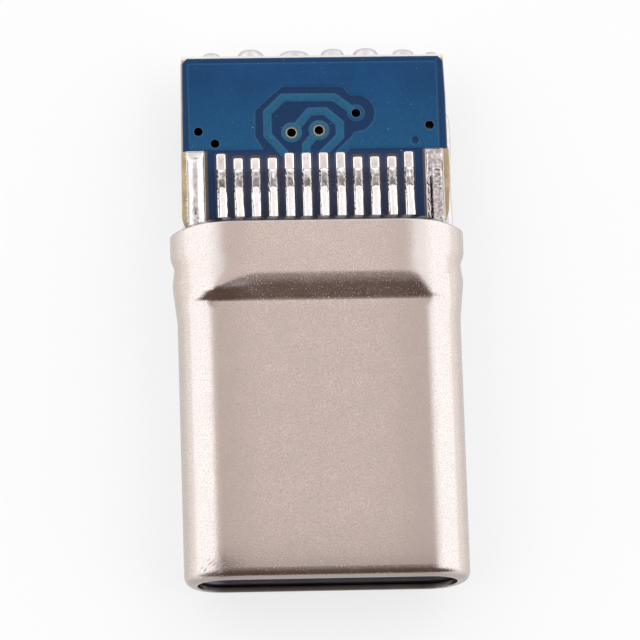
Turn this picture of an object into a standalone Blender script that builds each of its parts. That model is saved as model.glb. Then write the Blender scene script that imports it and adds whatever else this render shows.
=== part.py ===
"""USB-C plug on a small wiring board: a drawn steel shell with its insulators, spring contacts,
side latch, ground springs, circuit board and solder joints. Metres, +Z up, mouth towards -Y."""

import math

import bmesh
import bpy
from mathutils import Vector

MM = 0.001

# Clearances between moulded or stamped pieces, and under soldered ones
FIT = 0.02 * MM
SEAT = 0.01 * MM
# How far a cutter runs past the face that it opens
OVERRUN = 1.00 * MM

# Shell: tube, ramp and collar, drawn from one sheet
SHELL_WIDTH = 8.25 * MM
SHELL_HEIGHT = 2.40 * MM
SHELL_WALL = 0.25 * MM
TUBE_LENGTH = 8.22 * MM
RAMP_LENGTH = 0.55 * MM
RAMP_RISE = 0.30 * MM
COLLAR_LENGTH = 1.71 * MM
COLLAR_END = 2.00 * MM
MOUTH_RADIUS = 0.30 * MM
LIP_DEPTH = 0.38 * MM
LIP_THICKNESS = 0.15 * MM
LIP_EDGE = 0.02 * MM
FOOT_CREASE = 0.04 * MM
SHOULDER_CREASE = 0.20 * MM
SIDE_CREASE = 0.09 * MM
RIM_RADIUS = 0.10 * MM
# Side swell, measured per side beyond the tube, and its turns forward of the rim
SWELL_LENGTH = 0.43 * MM
BULGE = 0.12 * MM
WAIST = 0.05 * MM
FLARE = 0.16 * MM
BULGE_SETBACK = 1.56 * MM
WAIST_SETBACK = 1.03 * MM
FLARE_SETBACK = 0.76 * MM

# Front insulator
INSULATOR_SETBACK = 0.08 * MM
INSULATOR_LENGTH = 6.39 * MM
SIDE_WALL = 0.14 * MM
CAVITY_WALL = 0.51 * MM
FRONT_BAR = 0.69 * MM
LEAD_IN = 0.35 * MM
FRONT_CHAMFER = 0.06 * MM

# Contacts
CONTACT_COUNT = 12
CONTACT_PITCH = 0.50 * MM
CONTACT_WIDTH = 0.22 * MM
CONTACT_THICKNESS = 0.12 * MM
CONTACT_DEPTH = 0.29 * MM
CROWN_PROUD = 0.06 * MM
CONTACT_TIP_LIFT = 0.20 * MM
CROWN_SETBACK = 0.60 * MM
SPRING_LENGTH = 2.70 * MM
GROOVE_PLAY = 0.04 * MM
BEND_RADIUS = 0.25 * MM
EMPTY_LOWER_PLACES = (5, 6)

# Wafers, the mouldings that hold the contacts
WAFER_SETBACK = 0.50 * MM

# Latch plate
LATCH_THICKNESS = 0.25 * MM
ARM_WIDTH = 0.24 * MM
ARM_PLAY = 0.05 * MM
ARM_TAPER = 0.08 * MM
HOOK_DEPTH = 0.36 * MM
HOOK_LENGTH = 0.50 * MM
HOOK_FLAT = 0.10 * MM
HOOK_SETBACK = 1.10 * MM
BRIDGE_LENGTH = 2.30 * MM
LEG_WIDTH = 0.26 * MM
LEG_INSET = 0.18 * MM

# Ground springs
SPRING_THICKNESS = 0.10 * MM
SPRING_BAND = 1.20 * MM
SPRING_MARGIN = 0.225 * MM
FINGER_COUNT = 4
FINGER_WIDTH = 0.60 * MM
FINGER_DROP = 0.42 * MM
FINGER_REACH = 0.50 * MM
# Share of a half turn that the finger's curve takes, past one half so that its tip lifts again
FINGER_CURL = 0.62

# Circuit board
TAIL_DROP = 0.185 * MM
BOARD_LENGTH = 5.40 * MM
BOARD_SEAT = 0.08 * MM
BOARD_CORNER = 0.60 * MM
BOARD_EDGE = 0.11 * MM
COPPER = 0.035 * MM
MASK_THICKNESS = 0.025 * MM
MASK_EDGE = 0.02 * MM
MASK_REAR_EDGE = 0.03 * MM
MASK_CHAMFER = 0.15 * MM
MASK_WINDOW = 0.02 * MM
MASK_WINDOW_END = 0.09 * MM
MASK_SIDE_BAND = 0.10 * MM

# Pads and feet, lengths measured back from the rim of the shell
PAD_WIDTH = 0.25 * MM
LONG_PAD = 2.40 * MM
SHORT_PAD = 2.22 * MM
SHORT_PLACES = (1, 2, 3, 8, 9, 10)
FOOT_END = 1.84 * MM
FOOT_LENGTH = 0.54 * MM
TAIL_RUN = 0.30 * MM
SIDE_PAD_GAP = 0.365 * MM
SIDE_PAD_WIDTH = 0.52 * MM
SIDE_PAD_LENGTH = 2.42 * MM
SIDE_JOINT_SETBACK = 0.10 * MM

# Drilled holes: across from the middle and back from the rim
HOLE_DIAMETER = 0.26 * MM
HOLES = (
    (-3.39 * MM, 3.02 * MM),
    (-2.91 * MM, 2.65 * MM),
    (-0.67 * MM, 2.96 * MM),
    (0.16 * MM, 3.03 * MM),
    (1.25 * MM, 3.53 * MM),
    (3.40 * MM, 3.14 * MM),
)
TENTED_HOLE = (2.96 * MM, 2.68 * MM)

# Solder
SIDE_JOINT_HIGH = 0.37 * MM
SIDE_JOINT_LOW = 0.21 * MM
UNDER_JOINT = 0.28 * MM
UNDER_JOINT_OVERHANG = 0.22 * MM
EDGE_PAD_LENGTH = 3.90 * MM
JOINT_SKIRT = 0.03 * MM
WIRE_PAD_LENGTH = 1.30 * MM
WIRE_JOINT_CENTRE = 0.10 * MM
# One row a wire, from -X to +X: pad's middle, pad's width, solder's shift from it,
# its half width, its reach past the board and its depth under the pad
WIRE_JOINTS = (
    (-2.80 * MM, 0.80 * MM, -0.12 * MM, 0.34 * MM, 0.28 * MM, 0.34 * MM),
    (-1.68 * MM, 0.80 * MM, -0.08 * MM, 0.44 * MM, 0.36 * MM, 0.42 * MM),
    (-0.56 * MM, 0.80 * MM, 0.08 * MM, 0.54 * MM, 0.32 * MM, 0.40 * MM),
    (0.56 * MM, 0.80 * MM, 0.10 * MM, 0.40 * MM, 0.36 * MM, 0.44 * MM),
    (1.68 * MM, 0.80 * MM, -0.04 * MM, 0.44 * MM, 0.36 * MM, 0.42 * MM),
    (2.80 * MM, 0.80 * MM, -0.06 * MM, 0.40 * MM, 0.32 * MM, 0.38 * MM),
    (3.55 * MM, 0.48 * MM, 0.02 * MM, 0.26 * MM, 0.24 * MM, 0.32 * MM),
)

# Facets
END_STEPS = 18
ARC_STEPS = 5
HOLE_STEPS = 16

# Places along the plug, measured back from the mouth
RAMP_FOOT = TUBE_LENGTH
RAMP_TOP = RAMP_FOOT + RAMP_LENGTH
RIM = RAMP_TOP + COLLAR_LENGTH
INSULATOR_FRONT = LIP_THICKNESS + INSULATOR_SETBACK
INSULATOR_REAR = INSULATOR_FRONT + INSULATOR_LENGTH
GROOVE_FRONT = INSULATOR_FRONT + FRONT_BAR
WAFER_FRONT = INSULATOR_REAR + FIT
WAFER_REAR = RIM - WAFER_SETBACK
BOARD_FRONT = RIM - BOARD_SEAT
BOARD_REAR = BOARD_FRONT + BOARD_LENGTH
WIRE_REACH = max(reach for _, _, _, _, reach, _ in WIRE_JOINTS)
PLUG_LENGTH = BOARD_REAR + WIRE_REACH

# Sizes that follow from the ones above
TUBE_HALF_WIDTH = SHELL_WIDTH / 2
TUBE_HALF_HEIGHT = SHELL_HEIGHT / 2
COLLAR_HALF_HEIGHT = TUBE_HALF_HEIGHT + RAMP_RISE
TUBE_MIDDLE = TUBE_HALF_WIDTH - TUBE_HALF_HEIGHT
COLLAR_MIDDLE = TUBE_HALF_WIDTH + min(WAIST, BULGE) - COLLAR_END
LINER = SHELL_WALL + FIT
LINER_HALF_WIDTH = TUBE_HALF_WIDTH - LINER
LINER_HALF_HEIGHT = TUBE_HALF_HEIGHT - LINER
CHANNEL_HALF_WIDTH = LINER_HALF_WIDTH - SIDE_WALL
ARM_OUTER = CHANNEL_HALF_WIDTH - ARM_PLAY
ARM_INNER = ARM_OUTER - ARM_WIDTH
CAVITY_HALF_WIDTH = ARM_INNER - FIT
CAVITY_HALF_HEIGHT = LINER_HALF_HEIGHT - CAVITY_WALL
SPRING_HALF_SPAN = TUBE_MIDDLE - SPRING_MARGIN
CONTACT_LEVEL = LINER_HALF_HEIGHT - CONTACT_DEPTH
CONTACT_CROWN = CAVITY_HALF_HEIGHT - CROWN_PROUD
LATCH_HALF = LATCH_THICKNESS / 2
SPAN_HALF = (CONTACT_COUNT - 1) * CONTACT_PITCH / 2
SIDE_PAD_INNER = SPAN_HALF + PAD_WIDTH / 2 + SIDE_PAD_GAP
SIDE_PAD_OUTER = SIDE_PAD_INNER + SIDE_PAD_WIDTH
BOARD_HALF_WIDTH = SIDE_PAD_OUTER + BOARD_EDGE
# The board fills the room between the feet of the two rows
FOOT_LEVEL = CONTACT_LEVEL - TAIL_DROP
PAD_TOP = FOOT_LEVEL - CONTACT_THICKNESS / 2 - SEAT
BOARD_HALF = PAD_TOP - COPPER
BOARD_THICKNESS = 2 * BOARD_HALF
LEG_LEVEL = PAD_TOP + SEAT + LATCH_HALF
LEG_INNER = SIDE_PAD_INNER + LEG_INSET
LEG_OUTER = LEG_INNER + LEG_WIDTH
POCKET_DEPTH = SPRING_THICKNESS + FIT


def make_material(name, colour, roughness, metallic=0.0):
    """Principled material with one colour."""
    material = bpy.data.materials.new(name)
    material.use_nodes = True
    shader = material.node_tree.nodes["Principled BSDF"]
    shader.inputs["Base Color"].default_value = (*colour, 1.0)
    shader.inputs["Roughness"].default_value = roughness
    shader.inputs["Metallic"].default_value = metallic
    material.diffuse_color = (*colour, 1.0)
    return material


def add_object(name, bm, material, axis, sharp=math.radians(35)):
    """Turn a bmesh into a named object under the plug's axis, smooth where it is round."""
    bmesh.ops.recalc_face_normals(bm, faces=bm.faces)
    mesh = bpy.data.meshes.new(name)
    bm.to_mesh(mesh)
    bm.free()
    mesh.shade_smooth()
    mesh.set_sharp_from_angle(angle=sharp)
    if material:
        mesh.materials.append(material)
    made = bpy.data.objects.new(name, mesh)
    made.parent = axis
    bpy.context.collection.objects.link(made)
    return made


def add_cutter(name, bm, axis):
    """A solid that only shapes another: shown as wire and left out of renders."""
    cutter = add_object(name, bm, None, axis)
    cutter.hide_render = True
    cutter.display_type = "WIRE"
    return cutter


def combine(target, other, operation="DIFFERENCE"):
    """Cut another object out of the target, or join it on."""
    step = target.modifiers.new(other.name, "BOOLEAN")
    step.operation = operation
    step.solver = "EXACT"
    step.object = other


def oval(middle, end_length, half_height):
    """Points (x, z) of a flat oval, half an ellipse at each end of a straight middle."""
    points = []
    for side, start in ((1, -0.5), (-1, 0.5)):
        for step in range(END_STEPS + 1):
            angle = math.pi * (start + step / END_STEPS)
            points.append((side * middle + end_length * math.cos(angle), half_height * math.sin(angle)))
    return points


def stadium(half_width, half_height):
    """Points (x, z) of a flat oval with full round ends, counter-clockwise."""
    return oval(half_width - half_height, half_height, half_height)


def loft(rings, ring_closed=False):
    """Skin a row of rings, each (y, points), and cap both ends or join last to first."""
    bm = bmesh.new()
    rows = [[bm.verts.new((x, y, z)) for x, z in points] for y, points in rings]
    count = len(rows[0])
    pairs = list(zip(rows, rows[1:]))
    if ring_closed:
        pairs.append((rows[-1], rows[0]))
    for row, following in pairs:
        for i in range(count):
            j = (i + 1) % count
            bm.faces.new((row[i], row[j], following[j], following[i]))
    if not ring_closed:
        bm.faces.new(rows[0])
        bm.faces.new(rows[-1])
    return bm


def add_box(bm, low, high):
    """Box between two corners."""
    made = bmesh.ops.create_cube(bm, size=1.0)["verts"]
    size = Vector(high) - Vector(low)
    middle = (Vector(high) + Vector(low)) / 2
    for vert in made:
        vert.co = Vector((vert.co.x * size.x, vert.co.y * size.y, vert.co.z * size.z)) + middle


def add_plate(bm, outline, low, high):
    """Prism standing on an outline of (x, y) points."""
    base = bm.faces.new([bm.verts.new((x, y, low)) for x, y in outline])
    risen = bmesh.ops.extrude_face_region(bm, geom=[base])["geom"]
    verts = [item for item in risen if isinstance(item, bmesh.types.BMVert)]
    bmesh.ops.translate(bm, verts=verts, vec=(0, 0, high - low))


def mirror_outline(half):
    """Close a right-hand outline with its mirror image across X = 0."""
    return half + [(-x, y) for x, y in reversed(half)]


def arc(centre_x, centre_y, radius, start, end, steps=ARC_STEPS):
    """Points along an arc, angles in degrees."""
    points = []
    for step in range(steps + 1):
        angle = math.radians(start + (end - start) * step / steps)
        points.append((centre_x + radius * math.cos(angle), centre_y + radius * math.sin(angle)))
    return points


def soft_ramp(distance, reach):
    """Zero before a kink and the distance after it, eased by a parabola near it."""
    if distance <= -reach:
        return 0.0
    if distance >= reach:
        return distance
    return (distance + reach) ** 2 / (4 * reach)


def kinked(y, points, reach):
    """Value at y of straight runs through the points, each kink eased."""
    value = points[0][1]
    slope = 0.0
    for place, following in zip(points, points[1:] + [None]):
        onward = (following[1] - place[1]) / (following[0] - place[0]) if following else 0.0
        value += (onward - slope) * soft_ramp(y - place[0], reach)
        slope = onward
    return value


def contact_places():
    """Centres of the contacts across the plug."""
    return [i * CONTACT_PITCH - SPAN_HALF for i in range(CONTACT_COUNT)]


def row_places(side):
    """Numbered places of one row of contacts: all above, two left empty below."""
    return [(i, x) for i, x in enumerate(contact_places()) if side > 0 or i not in EMPTY_LOWER_PLACES]


def shell_section(y):
    """Half width, half height and half the flat middle of the shell's outside at y."""
    widths = [
        (RAMP_FOOT - SWELL_LENGTH, TUBE_HALF_WIDTH),
        (RIM - BULGE_SETBACK, TUBE_HALF_WIDTH + BULGE),
        (RIM - WAIST_SETBACK, TUBE_HALF_WIDTH + WAIST),
        (RIM - FLARE_SETBACK, TUBE_HALF_WIDTH + FLARE),
    ]
    climb = soft_ramp(y - RAMP_FOOT, FOOT_CREASE) - soft_ramp(y - RAMP_TOP, SHOULDER_CREASE)
    half_height = TUBE_HALF_HEIGHT + climb * RAMP_RISE / RAMP_LENGTH
    narrowing = [
        (RAMP_FOOT + SHOULDER_CREASE, TUBE_MIDDLE),
        (RAMP_TOP + SHOULDER_CREASE, COLLAR_MIDDLE),
    ]
    return kinked(y, widths, SIDE_CREASE), half_height, kinked(y, narrowing, SHOULDER_CREASE)


def shell_stations():
    """Places along the shell where its section is drawn, close together at the creases."""
    kinks = (
        (RAMP_FOOT - SWELL_LENGTH, SIDE_CREASE, 1),
        (RAMP_FOOT, FOOT_CREASE, 2),
        (RAMP_TOP, SHOULDER_CREASE, 3),
        (RIM - WAIST_SETBACK, SIDE_CREASE, 1),
        (RIM - FLARE_SETBACK, SIDE_CREASE, 1),
    )
    wanted = [MOUTH_RADIUS + (RAMP_FOOT - SWELL_LENGTH - MOUTH_RADIUS) * step / 4 for step in range(4)]
    wanted += [RAMP_FOOT + SHOULDER_CREASE, RAMP_TOP + 2 * SHOULDER_CREASE, RIM - RIM_RADIUS]
    for place, reach, steps in kinks:
        wanted += [place + reach * step / steps for step in range(-steps, steps + 1)]
    stations = []
    for y in sorted(wanted):
        if y > RIM - RIM_RADIUS:
            break
        if not stations or y - stations[-1] > FOOT_CREASE / 4:
            stations.append(y)
    return stations


def shell_ring(y, inset):
    """Shell section at y, drawn in by an inset."""
    half_width, half_height, middle = shell_section(y)
    return (y, oval(middle, half_width - middle - inset, half_height - inset))


def build_shell(axis, steel):
    """Seamless drawn shell: the punched lip turns in at the mouth, the collar is open behind."""
    rings = [
        shell_ring(LIP_THICKNESS, LIP_DEPTH),
        shell_ring(LIP_EDGE, LIP_DEPTH),
        shell_ring(0.0, LIP_DEPTH - LIP_EDGE),
    ]
    for x, y in arc(MOUTH_RADIUS, MOUTH_RADIUS, MOUTH_RADIUS, 270, 180, 2 * ARC_STEPS):
        rings.append(shell_ring(y, x))
    stations = shell_stations()
    rings += [shell_ring(y, 0.0) for y in stations[1:]]
    for x, y in arc(RIM_RADIUS, RIM - RIM_RADIUS, RIM_RADIUS, 180, 90, 4)[1:]:
        rings.append(shell_ring(y, x))
    rings.append(shell_ring(RIM, SHELL_WALL))
    rings += [shell_ring(y, SHELL_WALL) for y in reversed(stations[1:])]
    inner_corner = MOUTH_RADIUS - SHELL_WALL
    rings.append(shell_ring(LIP_THICKNESS + inner_corner, SHELL_WALL))
    rings.append(shell_ring(LIP_THICKNESS, SHELL_WALL + inner_corner))
    return add_object("shell", loft(rings, ring_closed=True), steel, axis)


def pocket_span():
    """Front and rear of the pocket that holds a ground spring."""
    front = GROOVE_FRONT
    return front, front + SPRING_BAND + 2 * FIT


def finger_places():
    """Centres of the ground spring's fingers across the plug."""
    step = 2 * (SPRING_HALF_SPAN - FINGER_WIDTH / 2) / (FINGER_COUNT - 1)
    return [i * step - SPRING_HALF_SPAN + FINGER_WIDTH / 2 for i in range(FINGER_COUNT)]


def build_front_insulator(axis, plastic):
    """Moulded liner of the tube: cavity with its lead-in, contact grooves, latch channels, pockets."""
    rings = []
    for y, inset in ((INSULATOR_FRONT, FRONT_CHAMFER), (INSULATOR_FRONT + FRONT_CHAMFER, 0.0),
                     (INSULATOR_REAR, 0.0)):
        rings.append((y, stadium(LINER_HALF_WIDTH - inset, LINER_HALF_HEIGHT - inset)))
    insulator = add_object("front_insulator", loft(rings), plastic, axis)
    past = INSULATOR_REAR + OVERRUN

    bm = bmesh.new()
    corner = Vector((CAVITY_HALF_WIDTH, past, CAVITY_HALF_HEIGHT))
    add_box(bm, (-corner.x, -OVERRUN, -corner.z), corner)
    combine(insulator, add_cutter("cavity_cutter", bm, axis))

    rings = []
    for depth in (-FRONT_CHAMFER, LEAD_IN):
        flare = LEAD_IN - depth
        side_flare = flare * (LINER_HALF_WIDTH - FRONT_CHAMFER - CAVITY_HALF_WIDTH) / CAVITY_WALL
        rings.append((INSULATOR_FRONT + depth, stadium(CAVITY_HALF_WIDTH + side_flare,
                                                       CAVITY_HALF_HEIGHT + flare)))
    combine(insulator, add_cutter("lead_in_cutter", loft(rings), axis))

    bm = bmesh.new()
    groove_half = CONTACT_WIDTH / 2 + GROOVE_PLAY
    groove_top = CONTACT_LEVEL + CONTACT_THICKNESS / 2 + FIT
    inside = CAVITY_HALF_HEIGHT / 2
    for side in (1, -1):
        for _, x in row_places(side):
            low, high = sorted((side * inside, side * groove_top))
            add_box(bm, (x - groove_half, GROOVE_FRONT, low), (x + groove_half, past, high))
        channel = sorted((side * (CAVITY_HALF_WIDTH - inside), side * CHANNEL_HALF_WIDTH))
        hook_front = HOOK_SETBACK - FIT
        add_box(bm, (channel[0], hook_front, -LATCH_HALF - FIT), (channel[1], past, LATCH_HALF + FIT))
        low, high = sorted((side * (LINER_HALF_HEIGHT - POCKET_DEPTH), side * SHELL_HEIGHT))
        front, rear = pocket_span()
        add_box(bm, (-SPRING_HALF_SPAN - FIT, front, low), (SPRING_HALF_SPAN + FIT, rear, high))
    combine(insulator, add_cutter("groove_cutter", bm, axis))

    bm = bmesh.new()
    for x in finger_places():
        half = FINGER_WIDTH / 2 + FIT
        front = GROOVE_FRONT - FINGER_REACH - FIT
        rear = GROOVE_FRONT + FIT
        add_box(bm, (x - half, front, -SHELL_HEIGHT), (x + half, rear, SHELL_HEIGHT))
    combine(insulator, add_cutter("window_cutter", bm, axis))
    return insulator


def build_wafer(name, side, axis, plastic):
    """Moulding around one row of contacts: a block in the tube with a flange in the collar."""
    collar = oval(COLLAR_MIDDLE, COLLAR_END - LINER, COLLAR_HALF_HEIGHT - LINER)
    rings = [
        (WAFER_FRONT, stadium(LINER_HALF_WIDTH, LINER_HALF_HEIGHT)),
        (RAMP_FOOT - FIT, stadium(LINER_HALF_WIDTH, LINER_HALF_HEIGHT)),
        (RAMP_TOP + 2 * SHOULDER_CREASE, collar),
        (WAFER_REAR, collar),
    ]
    bm = loft(rings)
    whole = bm.verts[:] + bm.edges[:] + bm.faces[:]
    plane = (0, 0, side * (LATCH_HALF + SEAT))
    cut = bmesh.ops.bisect_plane(bm, geom=whole, plane_co=plane, plane_no=(0, 0, -side), clear_outer=True)
    edges = [item for item in cut["geom_cut"] if isinstance(item, bmesh.types.BMEdge)]
    bmesh.ops.edgeloop_fill(bm, edges=edges)
    wafer = add_object(name, bm, plastic, axis)

    bm = bmesh.new()
    half = CONTACT_WIDTH / 2 + SEAT
    low, high = sorted(side * (CONTACT_LEVEL + play) for play in
                       (-CONTACT_THICKNESS / 2 - SEAT, CONTACT_THICKNESS / 2 + SEAT))
    for _, x in row_places(side):
        add_box(bm, (x - half, 0, low), (x + half, RIM, high))
    combine(wafer, add_cutter(name + "_cutter", bm, axis))
    return wafer


def bent_path(points, radius, steps=3):
    """Path through (y, z) points with each corner turned into a short curve."""
    path = [Vector(points[0])]
    for before, corner, after in zip(points, points[1:], points[2:]):
        corner = Vector(corner)
        back = Vector(before) - corner
        onward = Vector(after) - corner
        reach = min(radius, back.length / 3, onward.length / 3)
        start = corner + back.normalized() * reach
        end = corner + onward.normalized() * reach
        for step in range(steps + 1):
            t = step / steps
            path.append(start * (1 - t) ** 2 + corner * 2 * t * (1 - t) + end * t ** 2)
    path.append(Vector(points[-1]))
    return path


def strip_section(path, thickness):
    """Outline (y, z) of a strip of even thickness that follows a path."""
    upper = []
    lower = []
    for i, point in enumerate(path):
        along = (path[min(i + 1, len(path) - 1)] - path[max(i - 1, 0)]).normalized()
        across = Vector((-along.y, along.x)) * thickness / 2
        upper.append(point + across)
        lower.append(point - across)
    return upper + lower[::-1]


def contact_path(side):
    """Side view of a contact: tip, crown, spring, straight run in the wafer, tail and foot."""
    tip = GROOVE_FRONT + 2 * FIT
    crown = tip + CROWN_SETBACK
    foot_end = RIM + FOOT_END
    foot_start = foot_end - FOOT_LENGTH
    points = [
        (tip, CONTACT_CROWN + CONTACT_TIP_LIFT),
        (crown, CONTACT_CROWN),
        (crown + SPRING_LENGTH, CONTACT_LEVEL),
        (RIM + TAIL_RUN, CONTACT_LEVEL),
        (foot_start, FOOT_LEVEL),
        (foot_end, FOOT_LEVEL),
    ]
    return bent_path([(y, side * z) for y, z in points], BEND_RADIUS)


def build_contact(name, x, side, axis, metal):
    """One stamped contact, spring end in its groove and foot on its pad."""
    section = strip_section(contact_path(side), CONTACT_THICKNESS)
    bm = bmesh.new()
    flank = bm.faces.new([bm.verts.new((x - CONTACT_WIDTH / 2, y, z)) for y, z in section])
    risen = bmesh.ops.extrude_face_region(bm, geom=[flank])["geom"]
    verts = [item for item in risen if isinstance(item, bmesh.types.BMVert)]
    bmesh.ops.translate(bm, verts=verts, vec=(CONTACT_WIDTH, 0, 0))
    bmesh.ops.triangulate(bm, faces=bm.faces)
    return add_object(name, bm, metal, axis)


def lift_between(bm, lines, lift):
    """Cut a flat plate across at the lines, then raise each vertex by a function of its y."""
    for y in lines:
        whole = bm.verts[:] + bm.edges[:] + bm.faces[:]
        bmesh.ops.bisect_plane(bm, geom=whole, plane_co=(0, y, 0), plane_no=(0, 1, 0), dist=1e-8)
    for vert in bm.verts:
        vert.co.z += lift(vert.co.y)
    bmesh.ops.triangulate(bm, faces=bm.faces)


def build_latch_plate(axis, metal):
    """Stamped mid plate: two hooked arms beside the cavity and two legs up on to the board."""
    hook = ARM_INNER - HOOK_DEPTH
    hook_middle = HOOK_SETBACK + HOOK_LENGTH / 2
    bridge_front = WAFER_FRONT + ARM_WIDTH
    bridge_rear = bridge_front + BRIDGE_LENGTH
    leg_end = RIM + FOOT_END
    bridge_half = min(ARM_OUTER, LEG_OUTER)
    half = [
        (ARM_INNER, bridge_front),
        (ARM_INNER, HOOK_SETBACK + HOOK_LENGTH),
        (hook, hook_middle + HOOK_FLAT / 2),
        (hook, hook_middle - HOOK_FLAT / 2),
        (ARM_INNER, HOOK_SETBACK),
        (ARM_OUTER - ARM_TAPER, HOOK_SETBACK),
        (ARM_OUTER, HOOK_SETBACK + ARM_TAPER),
        (ARM_OUTER, bridge_front),
        (bridge_half, bridge_front + ARM_WIDTH),
        (bridge_half, bridge_rear - ARM_WIDTH),
        (LEG_OUTER, bridge_rear),
        (LEG_OUTER, leg_end),
        (LEG_INNER, leg_end),
        (LEG_INNER, bridge_rear),
    ]
    bm = bmesh.new()
    add_plate(bm, mirror_outline(half), -LATCH_HALF, LATCH_HALF)
    rise_start = WAFER_REAR
    rise_end = BOARD_FRONT - FIT
    lines = [rise_start + (rise_end - rise_start) * step / 6 for step in range(7)]

    def lift(y):
        share = min(max((y - rise_start) / (rise_end - rise_start), 0.0), 1.0)
        return LEG_LEVEL * share * share * (3 - 2 * share)

    lift_between(bm, lines, lift)
    return add_object("latch_plate", bm, metal, axis)


def build_ground_spring(name, side, axis, metal):
    """Comb-shaped spring in its pocket, fingers bent through the windows towards the cavity."""
    front, rear = pocket_span()
    band_front = front + FIT
    tip = front - FINGER_REACH
    outline = [(-SPRING_HALF_SPAN, rear - FIT), (-SPRING_HALF_SPAN, band_front)]
    for x in finger_places():
        half = FINGER_WIDTH / 2
        if x - half > -SPRING_HALF_SPAN + FIT:
            outline.append((x - half, band_front))
        outline += [(x - half, tip), (x + half, tip)]
        if x + half < SPRING_HALF_SPAN - FIT:
            outline.append((x + half, band_front))
    outline += [(SPRING_HALF_SPAN, band_front), (SPRING_HALF_SPAN, rear - FIT)]
    bm = bmesh.new()
    level = LINER_HALF_HEIGHT - SPRING_THICKNESS / 2
    add_plate(bm, outline, -SPRING_THICKNESS / 2, SPRING_THICKNESS / 2)
    lines = [tip + (band_front - tip) * step / 6 for step in range(1, 7)]

    def lift(y):
        share = min(max((band_front - y) / (band_front - tip), 0.0), 1.0)
        return side * (level - FINGER_DROP * math.sin(math.pi * FINGER_CURL * share) * share)

    lift_between(bm, lines, lift)
    return add_object(name, bm, metal, axis)


def board_outline(inset=0.0, rear_inset=0.0, chamfer=0.0):
    """Plan of the board: round front corners and square or cut rear corners."""
    half = BOARD_HALF_WIDTH - inset
    front = BOARD_FRONT + inset
    rear = BOARD_REAR - rear_inset
    radius = BOARD_CORNER - inset
    outline = arc(half - radius, front + radius, radius, 270, 360)
    if chamfer:
        outline += [(half, rear - chamfer), (half - chamfer, rear)]
    else:
        outline.append((half, rear))
    return mirror_outline(outline)


def contact_pads(side):
    """Plan (x0, y0, x1, y1) of each contact pad on one face."""
    pads = []
    for i, x in row_places(side):
        length = SHORT_PAD if i in SHORT_PLACES else LONG_PAD
        pads.append((x - PAD_WIDTH / 2, BOARD_FRONT + 2 * SEAT, x + PAD_WIDTH / 2, RIM + length))
    return pads


def side_pads(side):
    """Plan of the two side pads on one face; the right one below runs on along the edge."""
    pads = []
    for mirror in (1, -1):
        x0, x1 = sorted((mirror * SIDE_PAD_INNER, mirror * SIDE_PAD_OUTER))
        length = side_pad_length(mirror, side)
        pads.append((x0, BOARD_FRONT + BOARD_CORNER / 2, x1, RIM + length))
    return pads


def side_pad_length(mirror, side):
    """Length of a side pad, back from the rim."""
    return EDGE_PAD_LENGTH if mirror > 0 > side else SIDE_PAD_LENGTH


def wire_pads():
    """Plan of each wire pad at the rear edge, under the board."""
    rear = BOARD_REAR - 2 * SEAT
    return [(x - width / 2, rear - WIRE_PAD_LENGTH, x + width / 2, rear)
            for x, width, _, _, _, _ in WIRE_JOINTS]


def mask_windows(side):
    """Plan of each opening in the lacquer: round the pads, and out past the nearest edge."""
    windows = []
    for x0, _, x1, y1 in contact_pads(side):
        end = MASK_WINDOW_END if y1 < RIM + LONG_PAD else MASK_WINDOW
        windows.append((x0 - MASK_WINDOW, BOARD_FRONT - OVERRUN, x1 + MASK_WINDOW, y1 + end))
    for x0, _, x1, y1 in side_pads(side):
        if x0 > 0:
            x0, x1 = x0 - MASK_SIDE_BAND, x1 + OVERRUN
        else:
            x0, x1 = x0 - OVERRUN, x1 + MASK_SIDE_BAND
        windows.append((x0, BOARD_FRONT - OVERRUN, x1, y1 + MASK_WINDOW))
    if side < 0:
        for x0, y0, x1, y1 in wire_pads():
            windows.append((x0 - MASK_WINDOW, y0 - MASK_WINDOW, x1 + MASK_WINDOW, y1 + OVERRUN))
    return windows


def add_drill(bm, x, y):
    """Round cutter through the board."""
    made = bmesh.ops.create_cone(bm, cap_ends=True, segments=HOLE_STEPS, radius1=HOLE_DIAMETER / 2,
                                 radius2=HOLE_DIAMETER / 2, depth=4 * BOARD_THICKNESS)["verts"]
    bmesh.ops.translate(bm, verts=made, vec=(x, RIM + y, 0))


def build_board(axis, laminate):
    """Glass-epoxy board with its raised copper pads and drilled holes."""
    bm = bmesh.new()
    add_plate(bm, board_outline(), -BOARD_HALF, BOARD_HALF)
    board = add_object("circuit_board", bm, laminate, axis)
    bm = bmesh.new()
    for side in (1, -1):
        low, high = sorted((side * BOARD_HALF / 2, side * PAD_TOP))
        pads = contact_pads(side) + side_pads(side) + (wire_pads() if side < 0 else [])
        for x0, y0, x1, y1 in pads:
            add_box(bm, (x0, y0, low), (x1, y1, high))
    combine(board, add_cutter("pad_former", bm, axis), "UNION")
    bm = bmesh.new()
    for x, y in HOLES + (TENTED_HOLE,):
        add_drill(bm, x, y)
    combine(board, add_cutter("drill_cutter", bm, axis))
    return board


def build_mask(name, side, axis, lacquer):
    """Lacquer film on one face, open at the pads, the side strips and, above, the holes."""
    base = BOARD_HALF + SEAT
    low, high = sorted((side * base, side * (base + MASK_THICKNESS)))
    bm = bmesh.new()
    add_plate(bm, board_outline(MASK_EDGE, MASK_REAR_EDGE, MASK_CHAMFER), low, high)
    mask = add_object(name, bm, lacquer, axis)
    bm = bmesh.new()
    for x0, y0, x1, y1 in mask_windows(side):
        add_box(bm, (x0, y0, -BOARD_THICKNESS), (x1, y1, BOARD_THICKNESS))
    combine(mask, add_cutter(name + "_windows", bm, axis))
    if side > 0:
        bm = bmesh.new()
        for x, y in HOLES:
            add_drill(bm, x, y)
        combine(mask, add_cutter(name + "_holes", bm, axis))
    return mask


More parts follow.
